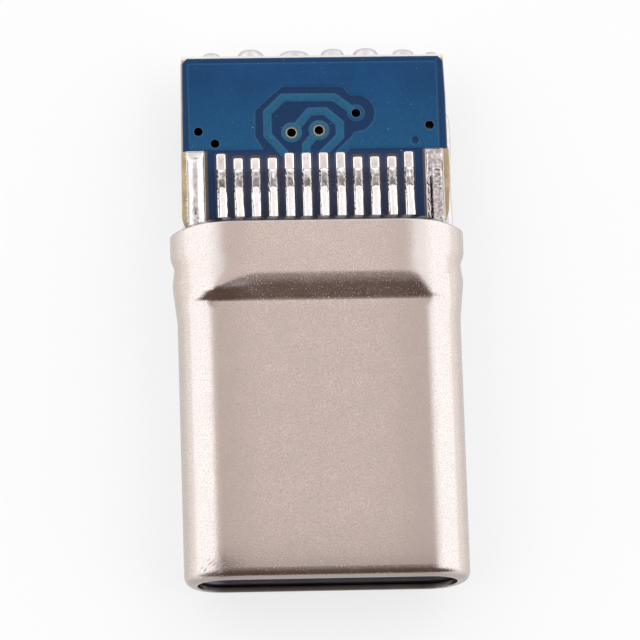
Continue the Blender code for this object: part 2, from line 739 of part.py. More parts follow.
def solder_loaf(bm, corner, size, height, fullness, side):
    """Low mound on a rectangle: its height falls off as a power of the distance to each edge."""
    x0, y0, base = corner
    length_x, length_y = size
    columns, rows = 8, 12
    top = []
    for j in range(rows + 1):
        v = 2 * j / rows - 1
        line = []
        for i in range(columns + 1):
            u = math.sin(math.pi / 2 * (2 * i / columns - 1))
            rise = (1 - abs(u) ** fullness) * (1 - abs(v) ** 6)
            z = base + side * (JOINT_SKIRT + (height - JOINT_SKIRT) * rise)
            line.append(bm.verts.new((x0 + length_x * (u + 1) / 2, y0 + length_y * j / rows, z)))
        top.append(line)
    for j in range(rows):
        for i in range(columns):
            bm.faces.new((top[j][i], top[j][i + 1], top[j + 1][i + 1], top[j + 1][i]))
    border = top[0] + [line[-1] for line in top[1:]]
    border += top[-1][-2::-1] + [line[0] for line in top[-2:0:-1]]
    foot = [bm.verts.new((vert.co.x, vert.co.y, base)) for vert in border]
    for i, vert in enumerate(border):
        j = (i + 1) % len(border)
        bm.faces.new((vert, border[j], foot[j], foot[i]))
    bm.faces.new(foot)


def build_side_joint(name, mirror, side, height, fullness, overhang, axis, solder):
    """Solder along a side pad; on top it takes the latch plate's leg."""
    inner = SIDE_PAD_INNER + SEAT
    outer = SIDE_PAD_OUTER + overhang
    x0 = min(mirror * inner, mirror * outer)
    front = RIM + SIDE_JOINT_SETBACK
    length = side_pad_length(mirror, side) - SIDE_JOINT_SETBACK
    bm = bmesh.new()
    base = side * (PAD_TOP + SEAT)
    solder_loaf(bm, (x0, front, base), (outer - inner, length), height, fullness, side)
    joint = add_object(name, bm, solder, axis)
    if side > 0:
        bm = bmesh.new()
        x0, x1 = sorted((mirror * (LEG_INNER - SEAT), mirror * (LEG_OUTER + SEAT)))
        low = PAD_TOP - COPPER
        high = PAD_TOP + LATCH_THICKNESS + 2 * SEAT
        add_box(bm, (x0, front - OVERRUN, low), (x1, RIM + FOOT_END + SEAT, high))
        combine(joint, add_cutter(name + "_cutter", bm, axis))
    return joint


def build_wire_joint(name, form, axis, solder):
    """Solder on a wire pad under the board, rounded over the board's rear edge."""
    pad_x, _, shift, half_width, reach, depth = form
    x = pad_x + shift
    half_length = (WIRE_PAD_LENGTH + reach) / 2
    middle = Vector((x, BOARD_REAR + reach - half_length, WIRE_JOINT_CENTRE - PAD_TOP))
    half_height = depth + WIRE_JOINT_CENTRE
    bm = bmesh.new()
    made = bmesh.ops.create_uvsphere(bm, u_segments=16, v_segments=8, radius=1.0)["verts"]
    for vert in made:
        shaped = (vert.co.x * half_width, vert.co.y * half_length, vert.co.z * half_height)
        vert.co = middle + Vector(shaped)
    joint = add_object(name, bm, solder, axis)
    bm = bmesh.new()
    low = (x - 2 * half_width, BOARD_FRONT, -PAD_TOP - SEAT)
    add_box(bm, low, (x + 2 * half_width, BOARD_REAR + SEAT, BOARD_THICKNESS))
    combine(joint, add_cutter(name + "_cutter", bm, axis))
    return joint


def build_plug():
    """Every piece of the plug, under one empty on the shell's axis at the mouth."""
    for old in list(bpy.data.objects):
        bpy.data.objects.remove(old, do_unlink=True)
    axis = bpy.data.objects.new("plug_axis", None)
    axis.location = (0, -PLUG_LENGTH / 2, COLLAR_HALF_HEIGHT)
    bpy.context.collection.objects.link(axis)

    steel = make_material("blasted_nickel_steel", (0.52, 0.43, 0.38), 0.38, 1.0)
    plastic = make_material("black_liquid_crystal_polymer", (0.012, 0.013, 0.018), 0.5)
    contact_metal = make_material("tinned_contact_bronze", (0.75, 0.72, 0.70), 0.25, 1.0)
    spring_steel = make_material("stainless_spring_strip", (0.60, 0.58, 0.55), 0.3, 1.0)
    laminate = make_material("glass_epoxy_laminate", (0.58, 0.43, 0.20), 0.6)
    lacquer = make_material("blue_solder_mask", (0.02, 0.09, 0.22), 0.3)
    solder = make_material("tin_solder", (0.80, 0.78, 0.76), 0.28, 1.0)

    build_shell(axis, steel)
    build_front_insulator(axis, plastic)
    build_wafer("upper_wafer", 1, axis, plastic)
    build_wafer("lower_wafer", -1, axis, plastic)
    build_latch_plate(axis, spring_steel)
    build_ground_spring("upper_ground_spring", 1, axis, spring_steel)
    build_ground_spring("lower_ground_spring", -1, axis, spring_steel)
    for side, row in ((1, "upper"), (-1, "lower")):
        for i, x in row_places(side):
            build_contact(f"{row}_contact_{i + 1:02d}", x, side, axis, contact_metal)
    build_board(axis, laminate)
    build_mask("upper_mask", 1, axis, lacquer)
    build_mask("lower_mask", -1, axis, lacquer)
    build_side_joint("left_leg_joint", -1, 1, SIDE_JOINT_HIGH, 3, 0.0, axis, solder)
    build_side_joint("right_leg_joint", 1, 1, SIDE_JOINT_LOW, 5, 0.0, axis, solder)
    build_side_joint("left_under_joint", -1, -1, UNDER_JOINT, 2, 0.0, axis, solder)
    overhang = BOARD_EDGE + UNDER_JOINT_OVERHANG
    build_side_joint("right_under_joint", 1, -1, UNDER_JOINT, 2, overhang, axis, solder)
    for number, form in enumerate(WIRE_JOINTS, 1):
        build_wire_joint(f"wire_joint_{number}", form, axis, solder)


build_plug()
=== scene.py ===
"""Finish of a cable plug: drawn shell, spring contacts, wiring board with its lacquer, pads and solder.

Every size is in metres. Shapes are worked out from the mouth of the plug, on its axis, and moved to
the frame's place at the end. +Y runs back from the mouth and +Z up.
"""

import math
from functools import partial, reduce

import bpy
import numpy as np
from bpy.props import FloatProperty, FloatVectorProperty, IntProperty, PointerProperty
from mathutils import Matrix, Vector


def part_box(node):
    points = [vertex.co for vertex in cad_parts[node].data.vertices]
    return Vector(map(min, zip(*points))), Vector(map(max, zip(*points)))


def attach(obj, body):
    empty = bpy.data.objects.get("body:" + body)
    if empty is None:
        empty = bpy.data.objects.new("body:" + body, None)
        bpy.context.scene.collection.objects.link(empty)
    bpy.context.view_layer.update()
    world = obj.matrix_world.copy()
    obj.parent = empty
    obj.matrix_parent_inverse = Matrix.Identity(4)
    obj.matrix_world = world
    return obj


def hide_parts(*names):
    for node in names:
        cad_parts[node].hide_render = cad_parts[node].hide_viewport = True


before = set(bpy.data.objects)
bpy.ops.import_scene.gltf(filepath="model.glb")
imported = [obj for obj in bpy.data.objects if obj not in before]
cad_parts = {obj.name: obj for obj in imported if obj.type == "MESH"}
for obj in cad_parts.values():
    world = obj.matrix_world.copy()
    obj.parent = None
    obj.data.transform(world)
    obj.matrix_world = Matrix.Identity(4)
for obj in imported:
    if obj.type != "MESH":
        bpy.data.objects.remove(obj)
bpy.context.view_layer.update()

bl_info = {
    "name": "Cable plug finish",
    "version": (1, 0, 0),
    "blender": (4, 5, 0),
    "location": "View3D > Sidebar > Plug",
    "description": "Dresses the frame of a cable plug with its shell, contacts, board and solder",
    "category": "Object",
}

MM = 0.001
BODY = "root"

# The mouth of the shell, on the plug's axis, in the frame, and the way from there to its rear edge
SHELL_LOW, SHELL_HIGH = (np.array(corner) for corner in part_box("shell"))
ORIGIN = np.array([0.0, SHELL_LOW[1], (SHELL_LOW[2] + SHELL_HIGH[2]) / 2])
MOUTH = float(ORIGIN[1])
AXIS = float(ORIGIN[2])
RIM = SHELL_HIGH[1] - SHELL_LOW[1]


def nodes_named(start):
    """Names of the frame's nodes that begin this way, in order."""
    return [name for name in sorted(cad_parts) if name.startswith(start)]


UPPER_CONTACTS = nodes_named("upper_contact_")
LOWER_CONTACTS = nodes_named("lower_contact_")
WIRE_JOINTS = nodes_named("wire_joint_")


def middle_of(name):
    """Where the middle of one of the frame's nodes lies across the plug."""
    low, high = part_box(name)
    return (low.x + high.x) / 2


def srgb(code):
    """Linear colour of an sRGB hex code: the low end is a straight line and the rest a power of 2.4."""
    levels = [int(code[start:start + 2], 16) / 255 for start in (1, 3, 5)]
    return tuple(v / 12.92 if v <= 0.04045 else ((v + 0.055) / 1.055) ** 2.4 for v in levels)


def length(name, description, millimetres):
    """A size in the sidebar, given here in millimetres."""
    return FloatProperty(name=name, description=description, default=millimetres * MM,
                         unit="LENGTH", subtype="DISTANCE", precision=5)


def colour(name, description, code):
    """A colour in the sidebar, given here as sRGB hex."""
    return FloatVectorProperty(name=name, description=description, default=srgb(code),
                               size=3, subtype="COLOR", min=0.0, max=1.0)


def share(name, description, value):
    """A number from 0 to 1 in the sidebar."""
    return FloatProperty(name=name, description=description, default=value, min=0.0, max=1.0)


class ShellSettings(bpy.types.PropertyGroup):
    """Sizes and finish of the drawn shell."""

    width: length("Width", "Across the tube", 8.25)
    height: length("Height", "Thickness of the tube", 2.40)
    wall: length("Wall", "Thickness of the drawn sheet", 0.25)
    tube_length: length("Tube", "From the mouth to the foot of the ramp", 8.195)
    ramp_length: length("Ramp length", "Length of the ramp up to the collar", 0.575)
    ramp_rise: length("Ramp rise", "Height of the ramp on each face", 0.30)
    crease: length("Crease", "Half length of the eased crease at the ramp's foot", 0.04)
    shoulder: length("Shoulder", "Half length of the round at the ramp's top", 0.20)
    taper: length("Mouth taper", "How far the flats fall away towards the mouth", 0.025)
    taper_length: length("Taper length", "From the mouth to where the taper starts", 1.2)
    collar_end: length("Collar end", "Length of the collar's half-oval ends, across the plug", 1.88)
    mouth_radius: length("Mouth radius", "Round between the tube and its front", 0.30)
    lip_depth: length("Lip depth", "How far the front turns in", 0.38)
    lip_thickness: length("Lip thickness", "Thickness of the turned-in front", 0.15)
    rim_radius: length("Rim radius", "Round on the rear edge", 0.07)
    grain: length("Blast grain", "Spacing of the dimples left by the blasting", 0.034)
    metal: colour("Plating", "Nickel plate over steel, a little warm", "#CDC1BA")
    roughness: share("Roughness", "Spread of the reflection", 0.20)


class MouldingSettings(bpy.types.PropertyGroup):
    """Finish of the black mouldings."""

    resin: colour("Resin", "Black liquid crystal polymer", "#3E3947")
    flow: length("Flow marks", "Width of the streaks in the moulding", 0.20)


class ContactSettings(bpy.types.PropertyGroup):
    """Sizes and finish of the stamped contacts."""

    width: length("Width", "Across one contact", 0.22)
    thickness: length("Thickness", "Of the strip", 0.12)
    edge: length("Edge radius", "Round left by the stamping and the tin", 0.045)
    bend: length("Bend", "Reach of each bend along the strip", 0.25)
    tin: colour("Tin", "Reflowed tin plate", "#F0EEED")
    spring: colour("Spring steel", "Bare stainless strip", "#C9C4BE")


class BoardSettings(bpy.types.PropertyGroup):
    """Sizes and colours of the wiring board."""

    step: length("Mesh step", "Grid of the lacquer", 0.034)
    relief: length("Relief", "How far lacquer over copper stands above the rest", 0.022)
    trace: length("Trace", "Width of the copper traces", 0.225)
    laminate: colour("Laminate", "Glass-epoxy board", "#BDA67E")
    shaded_resin: colour("Bare resin", "Board beside the pads, in shade", "#66503A")
    over_copper: colour("Lacquer on copper", "Blue lacquer where copper lies under it", "#13436E")
    over_resin: colour("Lacquer on resin", "Blue lacquer where the board lies under it", "#163255")
    over_pads: colour("Lacquer between pads", "Dull lacquer between the tinned pads", "#3B3E55")
    over_ring: colour("Lacquer on rings", "Thin lacquer on the rings of the holes", "#336478")
    over_trace: colour("Lacquer on traces", "Thin lacquer on the traces", "#245D7D")
    tin: colour("Tin", "Tin on the pads", "#F0EBE8")
    copper: colour("Copper", "Bare ring of a plated hole", "#B3A093")


class SolderSettings(bpy.types.PropertyGroup):
    """Finish of the solder."""

    alloy: colour("Alloy", "Tin solder", "#EAE5E3")
    dull: colour("Dull alloy", "Tin solder dulled by flux", "#CDC7C7")
    roughness: share("Roughness", "Spread of the reflection", 0.22)
    detail: IntProperty(name="Detail", description="Grid steps across a joint", default=40, min=8)


class StageSettings(bpy.types.PropertyGroup):
    """Floor, light and camera."""

    floor: colour("Floor", "Pale floor", "#8C8C8C")
    azimuth: FloatProperty(name="Azimuth", description="Camera's way round the plug",
                           default=math.radians(-14.651), subtype="ANGLE")
    elevation: FloatProperty(name="Elevation", description="Camera's height above the horizon",
                             default=math.radians(75.035), subtype="ANGLE")
    roll: FloatProperty(name="Roll", description="Camera's turn about its own axis",
                        default=math.radians(13.294), subtype="ANGLE")
    distance: length("Distance", "From the camera to its target", 170.989)
    lens: FloatProperty(name="Lens", description="Focal length", default=330.53 * MM,
                        unit="CAMERA", min=0.001)


# Shapes

LATTICE = 64


def rise(value, start, end):
    """Zero before start and one after end, by the smooth cubic 3t2 - 2t3 in between."""
    t = np.clip((value - start) / (end - start), 0.0, 1.0)
    return t * t * (3 - 2 * t)


def spread(start, end, step):
    """Even steps from start to end, no longer than step."""
    return np.linspace(start, end, max(int(math.ceil(abs(end - start) / step)), 1) + 1)


def crowded(count):
    """Places from -1 to 1 that crowd towards both ends: the sine of even angles."""
    return np.sin(np.linspace(-0.5, 0.5, count) * math.pi)


def full_turn(count):
    """Even angles once round."""
    return np.linspace(0, 2 * math.pi, count + 1)[:-1]


def arc(centre, radius, start, end, steps):
    """Points on an arc: the centre plus the radius times cosine and sine, angles in degrees."""
    angles = np.radians(np.linspace(start, end, steps + 1))
    return np.array(centre) + radius * np.column_stack([np.cos(angles), np.sin(angles)])


def lumps(x, y, size, seed):
    """Smooth random height from -1 to 1: random values on a lattice that repeats, eased between by
    3t2 - 2t3."""
    table = np.random.default_rng(seed).uniform(-1, 1, (LATTICE, LATTICE))
    column = np.floor(x / size).astype(int)
    row = np.floor(y / size).astype(int)
    across = rise(x / size - column, 0, 1)
    along = rise(y / size - row, 0, 1)

    def corner(down, right):
        return table[(row + down) % LATTICE, (column + right) % LATTICE]

    near = corner(0, 0) * (1 - across) + corner(0, 1) * across
    far = corner(1, 0) * (1 - across) + corner(1, 1) * across
    return near * (1 - along) + far * along


def waves(value, size, seed):
    """The same height where it changes along one line only."""
    return lumps(value, np.zeros(value.shape), size, seed)


def rough_height(x, y, *layers):
    """Sum of random heights, each layer given by its depth, its size and its seed."""
    return sum(depth * lumps(x, y, size, seed) for depth, size, seed in layers)


def bell(x, y, centre, reach, power=2):
    """One at the centre and falling off round it: e to the minus sum of the distances along X and Y,
    each over its reach and to the power."""
    across = ((x - centre[0]) / reach[0]) ** power
    along = ((y - centre[1]) / reach[1]) ** power
    return np.exp(-across - along)


def nearest(distances):
    """The least of several distances, point by point."""
    return reduce(np.minimum, distances)


def grid_quads(rows, columns, wrap_rows=False, wrap_columns=False):
    """Four corners of each cell of a grid of points numbered row by row."""
    index = np.arange(rows * columns).reshape(rows, columns)
    if wrap_rows:
        index = np.vstack([index, index[:1]])
    if wrap_columns:
        index = np.hstack([index, index[:, :1]])
    cells = [index[:-1, :-1], index[:-1, 1:], index[1:, 1:], index[1:, :-1]]
    return np.stack(cells, axis=-1).reshape(-1, 4)


def volume(points, faces):
    """Six times the signed volume: each face is fanned into triangles from its first corner."""
    total = 0.0
    for group in faces:
        first = points[group[:, 0]]
        for corner in range(1, group.shape[1] - 1):
            second = points[group[:, corner]]
            third = points[group[:, corner + 1]]
            total += np.einsum("ij,ij->", first, np.cross(second, third))
    return total


def add_piece(name, points, faces, material, slot, replaced=(), sharp=40.0, values=None):
    """Make a closed mesh from points and groups of faces, turn it outwards and seat it in the frame."""
    if volume(points, faces) < 0:
        faces = [group[:, ::-1] for group in faces]
    corners = np.concatenate([group.ravel() for group in faces])
    sizes = np.concatenate([np.full(len(group), group.shape[1]) for group in faces])
    mesh = bpy.data.meshes.new(name)
    mesh.vertices.add(len(points))
    mesh.vertices.foreach_set("co", (points + ORIGIN).astype(np.float32).ravel())
    mesh.loops.add(len(corners))
    mesh.loops.foreach_set("vertex_index", corners.astype(np.int32))
    mesh.polygons.add(len(sizes))
    starts = np.concatenate(([0], np.cumsum(sizes)[:-1])).astype(np.int32)
    mesh.polygons.foreach_set("loop_start", starts)
    mesh.update(calc_edges=True)
    mesh.shade_smooth()
    mesh.set_sharp_from_angle(angle=math.radians(sharp))
    for title, numbers in (values or {}).items():
        mesh.attributes.new(title, "FLOAT", "POINT").data.foreach_set("value", numbers.astype(np.float32))
    mesh.materials.append(material)
    piece = bpy.data.objects.new(name, mesh)
    bpy.context.scene.collection.objects.link(piece)
    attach(piece, BODY)
    if replaced:
        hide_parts(*replaced)
    return piece


def tube(rings):
    """Points and faces of a row of closed rings, capped at both ends."""
    rows, columns = rings.shape[:2]
    last = (rows - 1) * columns
    caps = np.array([np.arange(columns)[::-1], last + np.arange(columns)])
    return rings.reshape(-1, 3), [grid_quads(rows, columns, wrap_columns=True), caps]


def mound(x, y, top, base):
    """Points and faces of a solid with a gridded top, a straight skirt and a flat foot."""
    rows, columns = x.shape
    index = np.arange(rows * columns).reshape(rows, columns)
    border = np.concatenate([index[0, :-1], index[:-1, -1], index[-1, :0:-1], index[:0:-1, 0]])
    points = np.stack([x, y, top], axis=-1).reshape(-1, 3)
    foot = points[border].copy()
    foot[:, 2] = base
    lower = rows * columns + np.arange(len(border))
    skirt = np.stack([np.roll(border, -1), border, lower, np.roll(lower, -1)], axis=-1)
    return np.vstack([points, foot]), [grid_quads(rows, columns), skirt, lower[None, ::-1]]


def join(parts):
    """One set of points and faces from several."""
    points = []
    faces = {}
    start = 0
    for part_points, part_faces in parts:
        points.append(part_points)
        for group in part_faces:
            faces.setdefault(group.shape[1], []).append(group + start)
        start += len(part_points)
    return np.vstack(points), [np.vstack(groups) for groups in faces.values()]


def on_face(points, faces, side):
    """A shape made for the upper face of the board, or the same turned over to the lower one."""
    if side > 0:
        return points, faces
    return points * (1, 1, -1), [group[:, ::-1] for group in faces]


def add_stained_and_shaded(name, parts, material, slot, replaced=()):
    """Make one piece of parts that each have points, faces and how stained the gridded top is; on some
    joints the same values carry painted shade and highlight.
    """
    points, faces = join([part[:2] for part in parts])
    stains = [np.pad(stain_and_shade.ravel(), (0, len(part) - stain_and_shade.size)) for part, _, stain_and_shade in parts]
    add_piece(name, points, faces, material, slot, replaced, values={"stain_and_shade": np.concatenate(stains)})


def soft_ramp(distance, reach):
    """Zero before a kink, the distance after it, and a parabola within its reach."""
    eased = (distance + reach) ** 2 / (4 * reach)
    return np.where(distance <= -reach, 0.0, np.where(distance >= reach, distance, eased))


def kinked(y, points, reach):
    """Straight runs through the points, level before and after them, each kink eased."""
    value = np.full(y.shape, points[0][1])
    slope = 0.0
    for place, following in zip(points, points[1:] + (None,)):
        onward = (following[1] - place[1]) / (following[0] - place[0]) if following else 0.0
        value = value + (onward - slope) * soft_ramp(y - place[0], reach)
        slope = onward
    return value


def box_distance(x, y, low, high, radius=0.0):
    """Signed distance to a rectangle with round corners, negative inside: the length of what sticks
    out past the inner rectangle, less the radius."""
    across = np.abs(x - (low[0] + high[0]) / 2) - (high[0] - low[0]) / 2 + radius
    along = np.abs(y - (low[1] + high[1]) / 2) - (high[1] - low[1]) / 2 + radius
    outside = np.hypot(np.maximum(across, 0), np.maximum(along, 0))
    return outside + np.minimum(np.maximum(across, along), 0) - radius


def disc_distance(x, y, centre, radius):
    """Signed distance to a disc, negative inside."""
    return np.hypot(x - centre[0], y - centre[1]) - radius


def line_distance(x, y, points, width):
    """Signed distance to a line of even width with round ends, negative inside."""
    least = np.full(x.shape, np.inf)
    for start, end in zip(points, points[1:]):
        run = np.subtract(end, start)
        place = ((x - start[0]) * run[0] + (y - start[1]) * run[1]) / (run @ run)
        place = np.clip(place, 0, 1)
        gap = np.hypot(x - start[0] - place * run[0], y - start[1] - place * run[1])
        least = np.minimum(least, gap)
    return least - width / 2


def outline_distance(x, y, corners):
    """Signed distance to a closed outline, negative inside: the least distance to its sides, and
    inside where a ray along X crosses an odd number of them."""
    least = line_distance(x, y, corners + corners[:1], 0.0)
    inside = np.zeros(x.shape, bool)
    for start, end in zip(corners, corners[1:] + corners[:1]):
        if start[1] != end[1]:
            crossing = start[0] + (y - start[1]) * (end[0] - start[0]) / (end[1] - start[1])
            inside ^= ((start[1] > y) != (end[1] > y)) & (x < crossing)
    return np.where(inside, -least, least)


def moved_on(x, y, chosen, region, nudge):
    """Chosen points of a grid moved on to a region's edge, in three steps along the gradient of the
    distance to it."""
    for _ in range(3):
        gap = region(x, y)
        slope_x = (region(x + nudge, y) - region(x - nudge, y)) / (2 * nudge)
        slope_y = (region(x, y + nudge) - region(x, y - nudge)) / (2 * nudge)
        steep = np.maximum(slope_x ** 2 + slope_y ** 2, 0.25)
        x = np.where(chosen, x - gap * slope_x / steep, x)
        y = np.where(chosen, y - gap * slope_y / steep, y)
    return x, y


def sheet_faces(kept):
    """Faces of a closed sheet over the kept cells of a grid: the upper side, the lower one, whose points
    are numbered on from the upper ones, and a wall wherever a kept cell has no neighbour."""
    rows, columns = np.add(kept.shape, 1)
    under = rows * columns
    index = np.arange(under).reshape(rows, columns)
    around = np.pad(kept, 1)
    upper = grid_quads(rows, columns)[kept.ravel()]
    sides = (
        (~around[:-2, 1:-1], index[:-1, :-1], index[:-1, 1:]),
        (~around[1:-1, 2:], index[:-1, 1:], index[1:, 1:]),
        (~around[2:, 1:-1], index[1:, 1:], index[1:, :-1]),
        (~around[1:-1, :-2], index[1:, :-1], index[:-1, :-1]),
    )
    walls = []
    for open_side, start, end in sides:
        first = start[kept & open_side]
        second = end[kept & open_side]
        walls.append(np.stack([second, first, first + under, second + under], axis=-1))
    return np.vstack([upper, upper[:, ::-1] + under] + walls)


def film(low, high, step, region, skin, floor):
    """Thin closed sheet over the cells of a grid that lie in a region, its border moved on to the
    region's edge. skin gives the upper height and floor the lower one."""
    x, y = np.meshgrid(spread(low[0], high[0], step), spread(low[1], high[1], step))
    kept = region((x[:-1, :-1] + x[1:, 1:]) / 2, (y[:-1, :-1] + y[1:, 1:]) / 2) < 0
    around = np.pad(kept, 1)
    corners = np.stack([around[:-1, :-1], around[:-1, 1:], around[1:, :-1], around[1:, 1:]])
    border = corners.any(axis=0) & ~corners.all(axis=0)
    x, y = (places.ravel() for places in moved_on(x, y, border, region, step / 50))
    top = np.column_stack([x, y, skin(x, y)])
    foot = np.column_stack([x, y, np.full(len(x), floor)])
    used, faces = np.unique(sheet_faces(kept), return_inverse=True)
    return np.vstack([top, foot])[used], [faces.reshape(-1, 4)]


# Materials

COORDINATES = "ShaderNodeTexCoord"
SPLIT = "ShaderNodeSeparateXYZ"
STRETCH = "ShaderNodeMapping"
NOISE = "ShaderNodeTexNoise"
MATH = "ShaderNodeMath"
MIX = "ShaderNodeMix"
BUMP = "ShaderNodeBump"
ATTRIBUTE = "ShaderNodeAttribute"
# Its inputs in order: the value, the range it comes from and the range it goes to, which SMOOTH eases
RANGE = "ShaderNodeMapRange"
SMOOTH = {"interpolation_type": "SMOOTHSTEP"}


def fill(tree, made, inputs):
    """Give a node's inputs, in order or by name, their values or links; a colour gets full alpha."""
    for title, value in inputs.items() if isinstance(inputs, dict) else enumerate(inputs):
        socket = made.inputs[title]
        if isinstance(value, bpy.types.NodeSocket):
            tree.links.new(value, socket)
        elif socket.type == "RGBA":
            socket.default_value = (*value[:3], 1.0)
        else:
            socket.default_value = value


def add_node(tree, kind, inputs=(), output=0, **settings):
    """Add a node with its settings and inputs, and return one of its outputs."""
    made = tree.nodes.new(kind)
    for name, value in settings.items():
        setattr(made, name, value)
    fill(tree, made, inputs)
    return made.outputs[output]


def layered(tree, base, *layers):
    """Colours laid over a first one in turn, each by its amount."""
    for amount, tone in layers:
        base = add_node(tree, MIX, {0: amount, 6: base, 7: tone}, 2, data_type="RGBA")
    return base


def new_material(name):
    """A material with its nodes, its Principled shader and a short way to add to them."""
    material = bpy.data.materials.new(name)
    material.use_nodes = True
    tree = material.node_tree
    return material, tree, tree.nodes["Principled BSDF"], partial(add_node, tree)


def shade(tone, factor):
    """Colour made lighter or darker by a factor."""
    return tuple(min(level * factor, 1.0) for level in tone)


def flat_darkening(add, side, across, along):
    """How much darker the flats are where they turn into the round sides, and how much darker the plate
    is: a little on the flats of the tube, more near the mouth, and towards the right as painted shade."""
    flat = add(RANGE, (across, 3.0 * MM, 3.3 * MM, 1.0, 0.0))
    darker_at_bends = add(RANGE, (across, 1.6 * MM, 2.9 * MM, 0.0, 0.8), **SMOOTH)
    darker_at_bends = add(MATH, (darker_at_bends, flat), operation="MULTIPLY")
    on_tube = add(RANGE, (along, MOUTH + 7.9 * MM, MOUTH + 8.3 * MM, 0.22, 0.0))
    in_front = add(RANGE, (along, MOUTH + 0.3 * MM, MOUTH + 2.2 * MM, 0.26, 0.0), **SMOOTH)
    tube_and_right_darkening = add(MATH, (on_tube, in_front), operation="ADD")
    # Towards the right the plate is darkened as painted shade
    right_shade = add(RANGE, (side, 0.8 * MM, 2.9 * MM, 0.0, 0.30))
    tube_and_right_darkening = add(MATH, (tube_and_right_darkening, right_shade), operation="ADD")
    return darker_at_bends, add(MATH, (tube_and_right_darkening, flat), operation="MULTIPLY")


def nicks(add, place):
    """How rubbed the metal is about the nicked corner of the mouth, and the short cuts in it."""
    corner = Vector(NICKED_CORNER) + Vector(ORIGIN)
    reach = add("ShaderNodeVectorMath", (place, corner), "Value", operation="DISTANCE")
    rubbed = add(RANGE, (reach, 0.52 * MM, 0.22 * MM, 0.0, 1.0))
    cut = add(STRETCH, {"Vector": place, "Rotation": (0.0, 0.0, math.radians(38)), "Scale": (2.6, 0.7, 1.0)},
              vector_type="TEXTURE")
    cut = add(NOISE, {"Vector": cut, "Scale": 1 / (0.075 * MM), "Detail": 1.0})
    cut = add(RANGE, (cut, 0.62, 0.70, 0.0, 1.0))
    return rubbed, add(MATH, (cut, rubbed), operation="MULTIPLY")


def blasted_nickel(settings):
    """Deep-drawn steel, bead blasted and nickel plated: a soft sheen broken up by fine dimples, with a
    faint mottle of the plate, bright specks painted in as glints, darker on the tube and towards the bends,
    painted shade towards the right, a lower lip and a line in front painted dark as shade, a painted
    reflection of the board along the rear edge and nicks at one corner of the mouth."""
    material, tree, shader, add = new_material("bead_blasted_nickel_plate")
    place = add(COORDINATES, output="Object")
    side = add(SPLIT, (place,), "X")
    across = add(MATH, (side,), operation="ABSOLUTE")
    along = add(SPLIT, (place,), "Y")
    tone = tuple(settings.metal)
    grain = add(NOISE, {"Vector": place, "Scale": 1 / settings.grain, "Detail": 1.0})
    cloud = add(NOISE, {"Vector": place, "Scale": 1 / (0.7 * MM)})
    # Bright specks painted into the plate's colour as glints of the blast; the same specks dot the painted
    # reflection along the rear edge
    glint_specks = add(NOISE, {"Vector": place, "Scale": 1 / (0.045 * MM), "Detail": 0.0})
    # The painted reflection of the board along the rear edge follows the bow of the rim
    bow = add(RANGE, (across, BOW_START, BOW_END, 0.0, RIM_BOW), **SMOOTH)
    back = add(MATH, (along, bow), operation="ADD")
    darker_at_bends, tube_and_right_darkening = flat_darkening(add, side, across, along)
    rim_board_reflection = layered(tree, srgb("#5A5D66"), (add(RANGE, (glint_specks, 0.60, 0.72, 0.0, 0.7)), shade(tone, 0.8)))
    # Among these layers, the line along the front of the mouth is painted dark as shade, for the shaded
    # floor it mirrors
    base = layered(tree, shade(tone, 0.78),
                   (add(RANGE, (grain, 0.25, 0.75, 0.0, 1.0)), shade(tone, 1.22)),
                   (add(RANGE, (cloud, 0.3, 0.7, 0.0, 0.35)), shade(tone, 0.93)),
                   (add(RANGE, (glint_specks, 0.80, 0.86, 0.0, 0.8)), shade(tone, 1.3)),
                   (darker_at_bends, shade(tone, 0.82)),
                   (tube_and_right_darkening, shade(tone, 0.78)),
                   (add(RANGE, (along, MOUTH + 0.05 * MM, MOUTH + 0.16 * MM, 0.55, 0.0)), shade(tone, 0.6)),
                   (add(RANGE, (back, MOUTH + RIM - 0.02 * MM, MOUTH + RIM + 0.015 * MM, 0.0, 0.9)),
                    rim_board_reflection))
    # Dimples left by the beads, with a deeper one here and there
    pit = add(NOISE, {"Vector": place, "Scale": 1 / (0.038 * MM), "Detail": 0.0})
    normal = add(BUMP, {"Height": grain, "Distance": 0.0012 * MM, "Strength": 0.8})
    normal = add(BUMP, {"Height": add(RANGE, (pit, 0.66, 0.84, 0.0, 1.0)), "Distance": 0.0026 * MM,
                        "Normal": normal})
    rubbed, cut = nicks(add, place)
    normal = add(BUMP, {"Height": cut, "Distance": 0.006 * MM, "Strength": 0.8, "Normal": normal},
                 invert=True)
    # The lower lip is rough, and painted dark as shade, darkest deeper in the mouth
    inside = add(RANGE, (along, MOUTH + 0.20 * MM, MOUTH + 0.32 * MM, 1.0, 0.0))
    below = add(RANGE, (add(SPLIT, (place,), "Z"), AXIS - 0.5 * MM, AXIS - 0.7 * MM, 0.0, 1.0))
    lower = add(MATH, (inside, below), operation="MULTIPLY")
    lip = layered(tree, srgb("#3A302D"),
                  (add(RANGE, (along, MOUTH + 0.03 * MM, MOUTH + 0.17 * MM, 0.8, 0.0)), shade(tone, 0.8)))
    base = layered(tree, base, (lower, lip), (add(MATH, (cut, 0.55), operation="MULTIPLY"), srgb("#5F5450")))
    coarse = add(MATH, (add(MATH, (rubbed, 0.07), operation="MULTIPLY"),
                        add(MATH, (lower, 0.25), operation="MULTIPLY")), operation="MAXIMUM")
    sheen = add(RANGE, (cloud, 0.3, 0.7, settings.roughness - 0.03, settings.roughness + 0.05))
    fill(tree, shader, {"Metallic": 1.0, "Base Color": base, "Normal": normal,
                        "Roughness": add(MATH, (sheen, coarse), operation="ADD")})
    return material


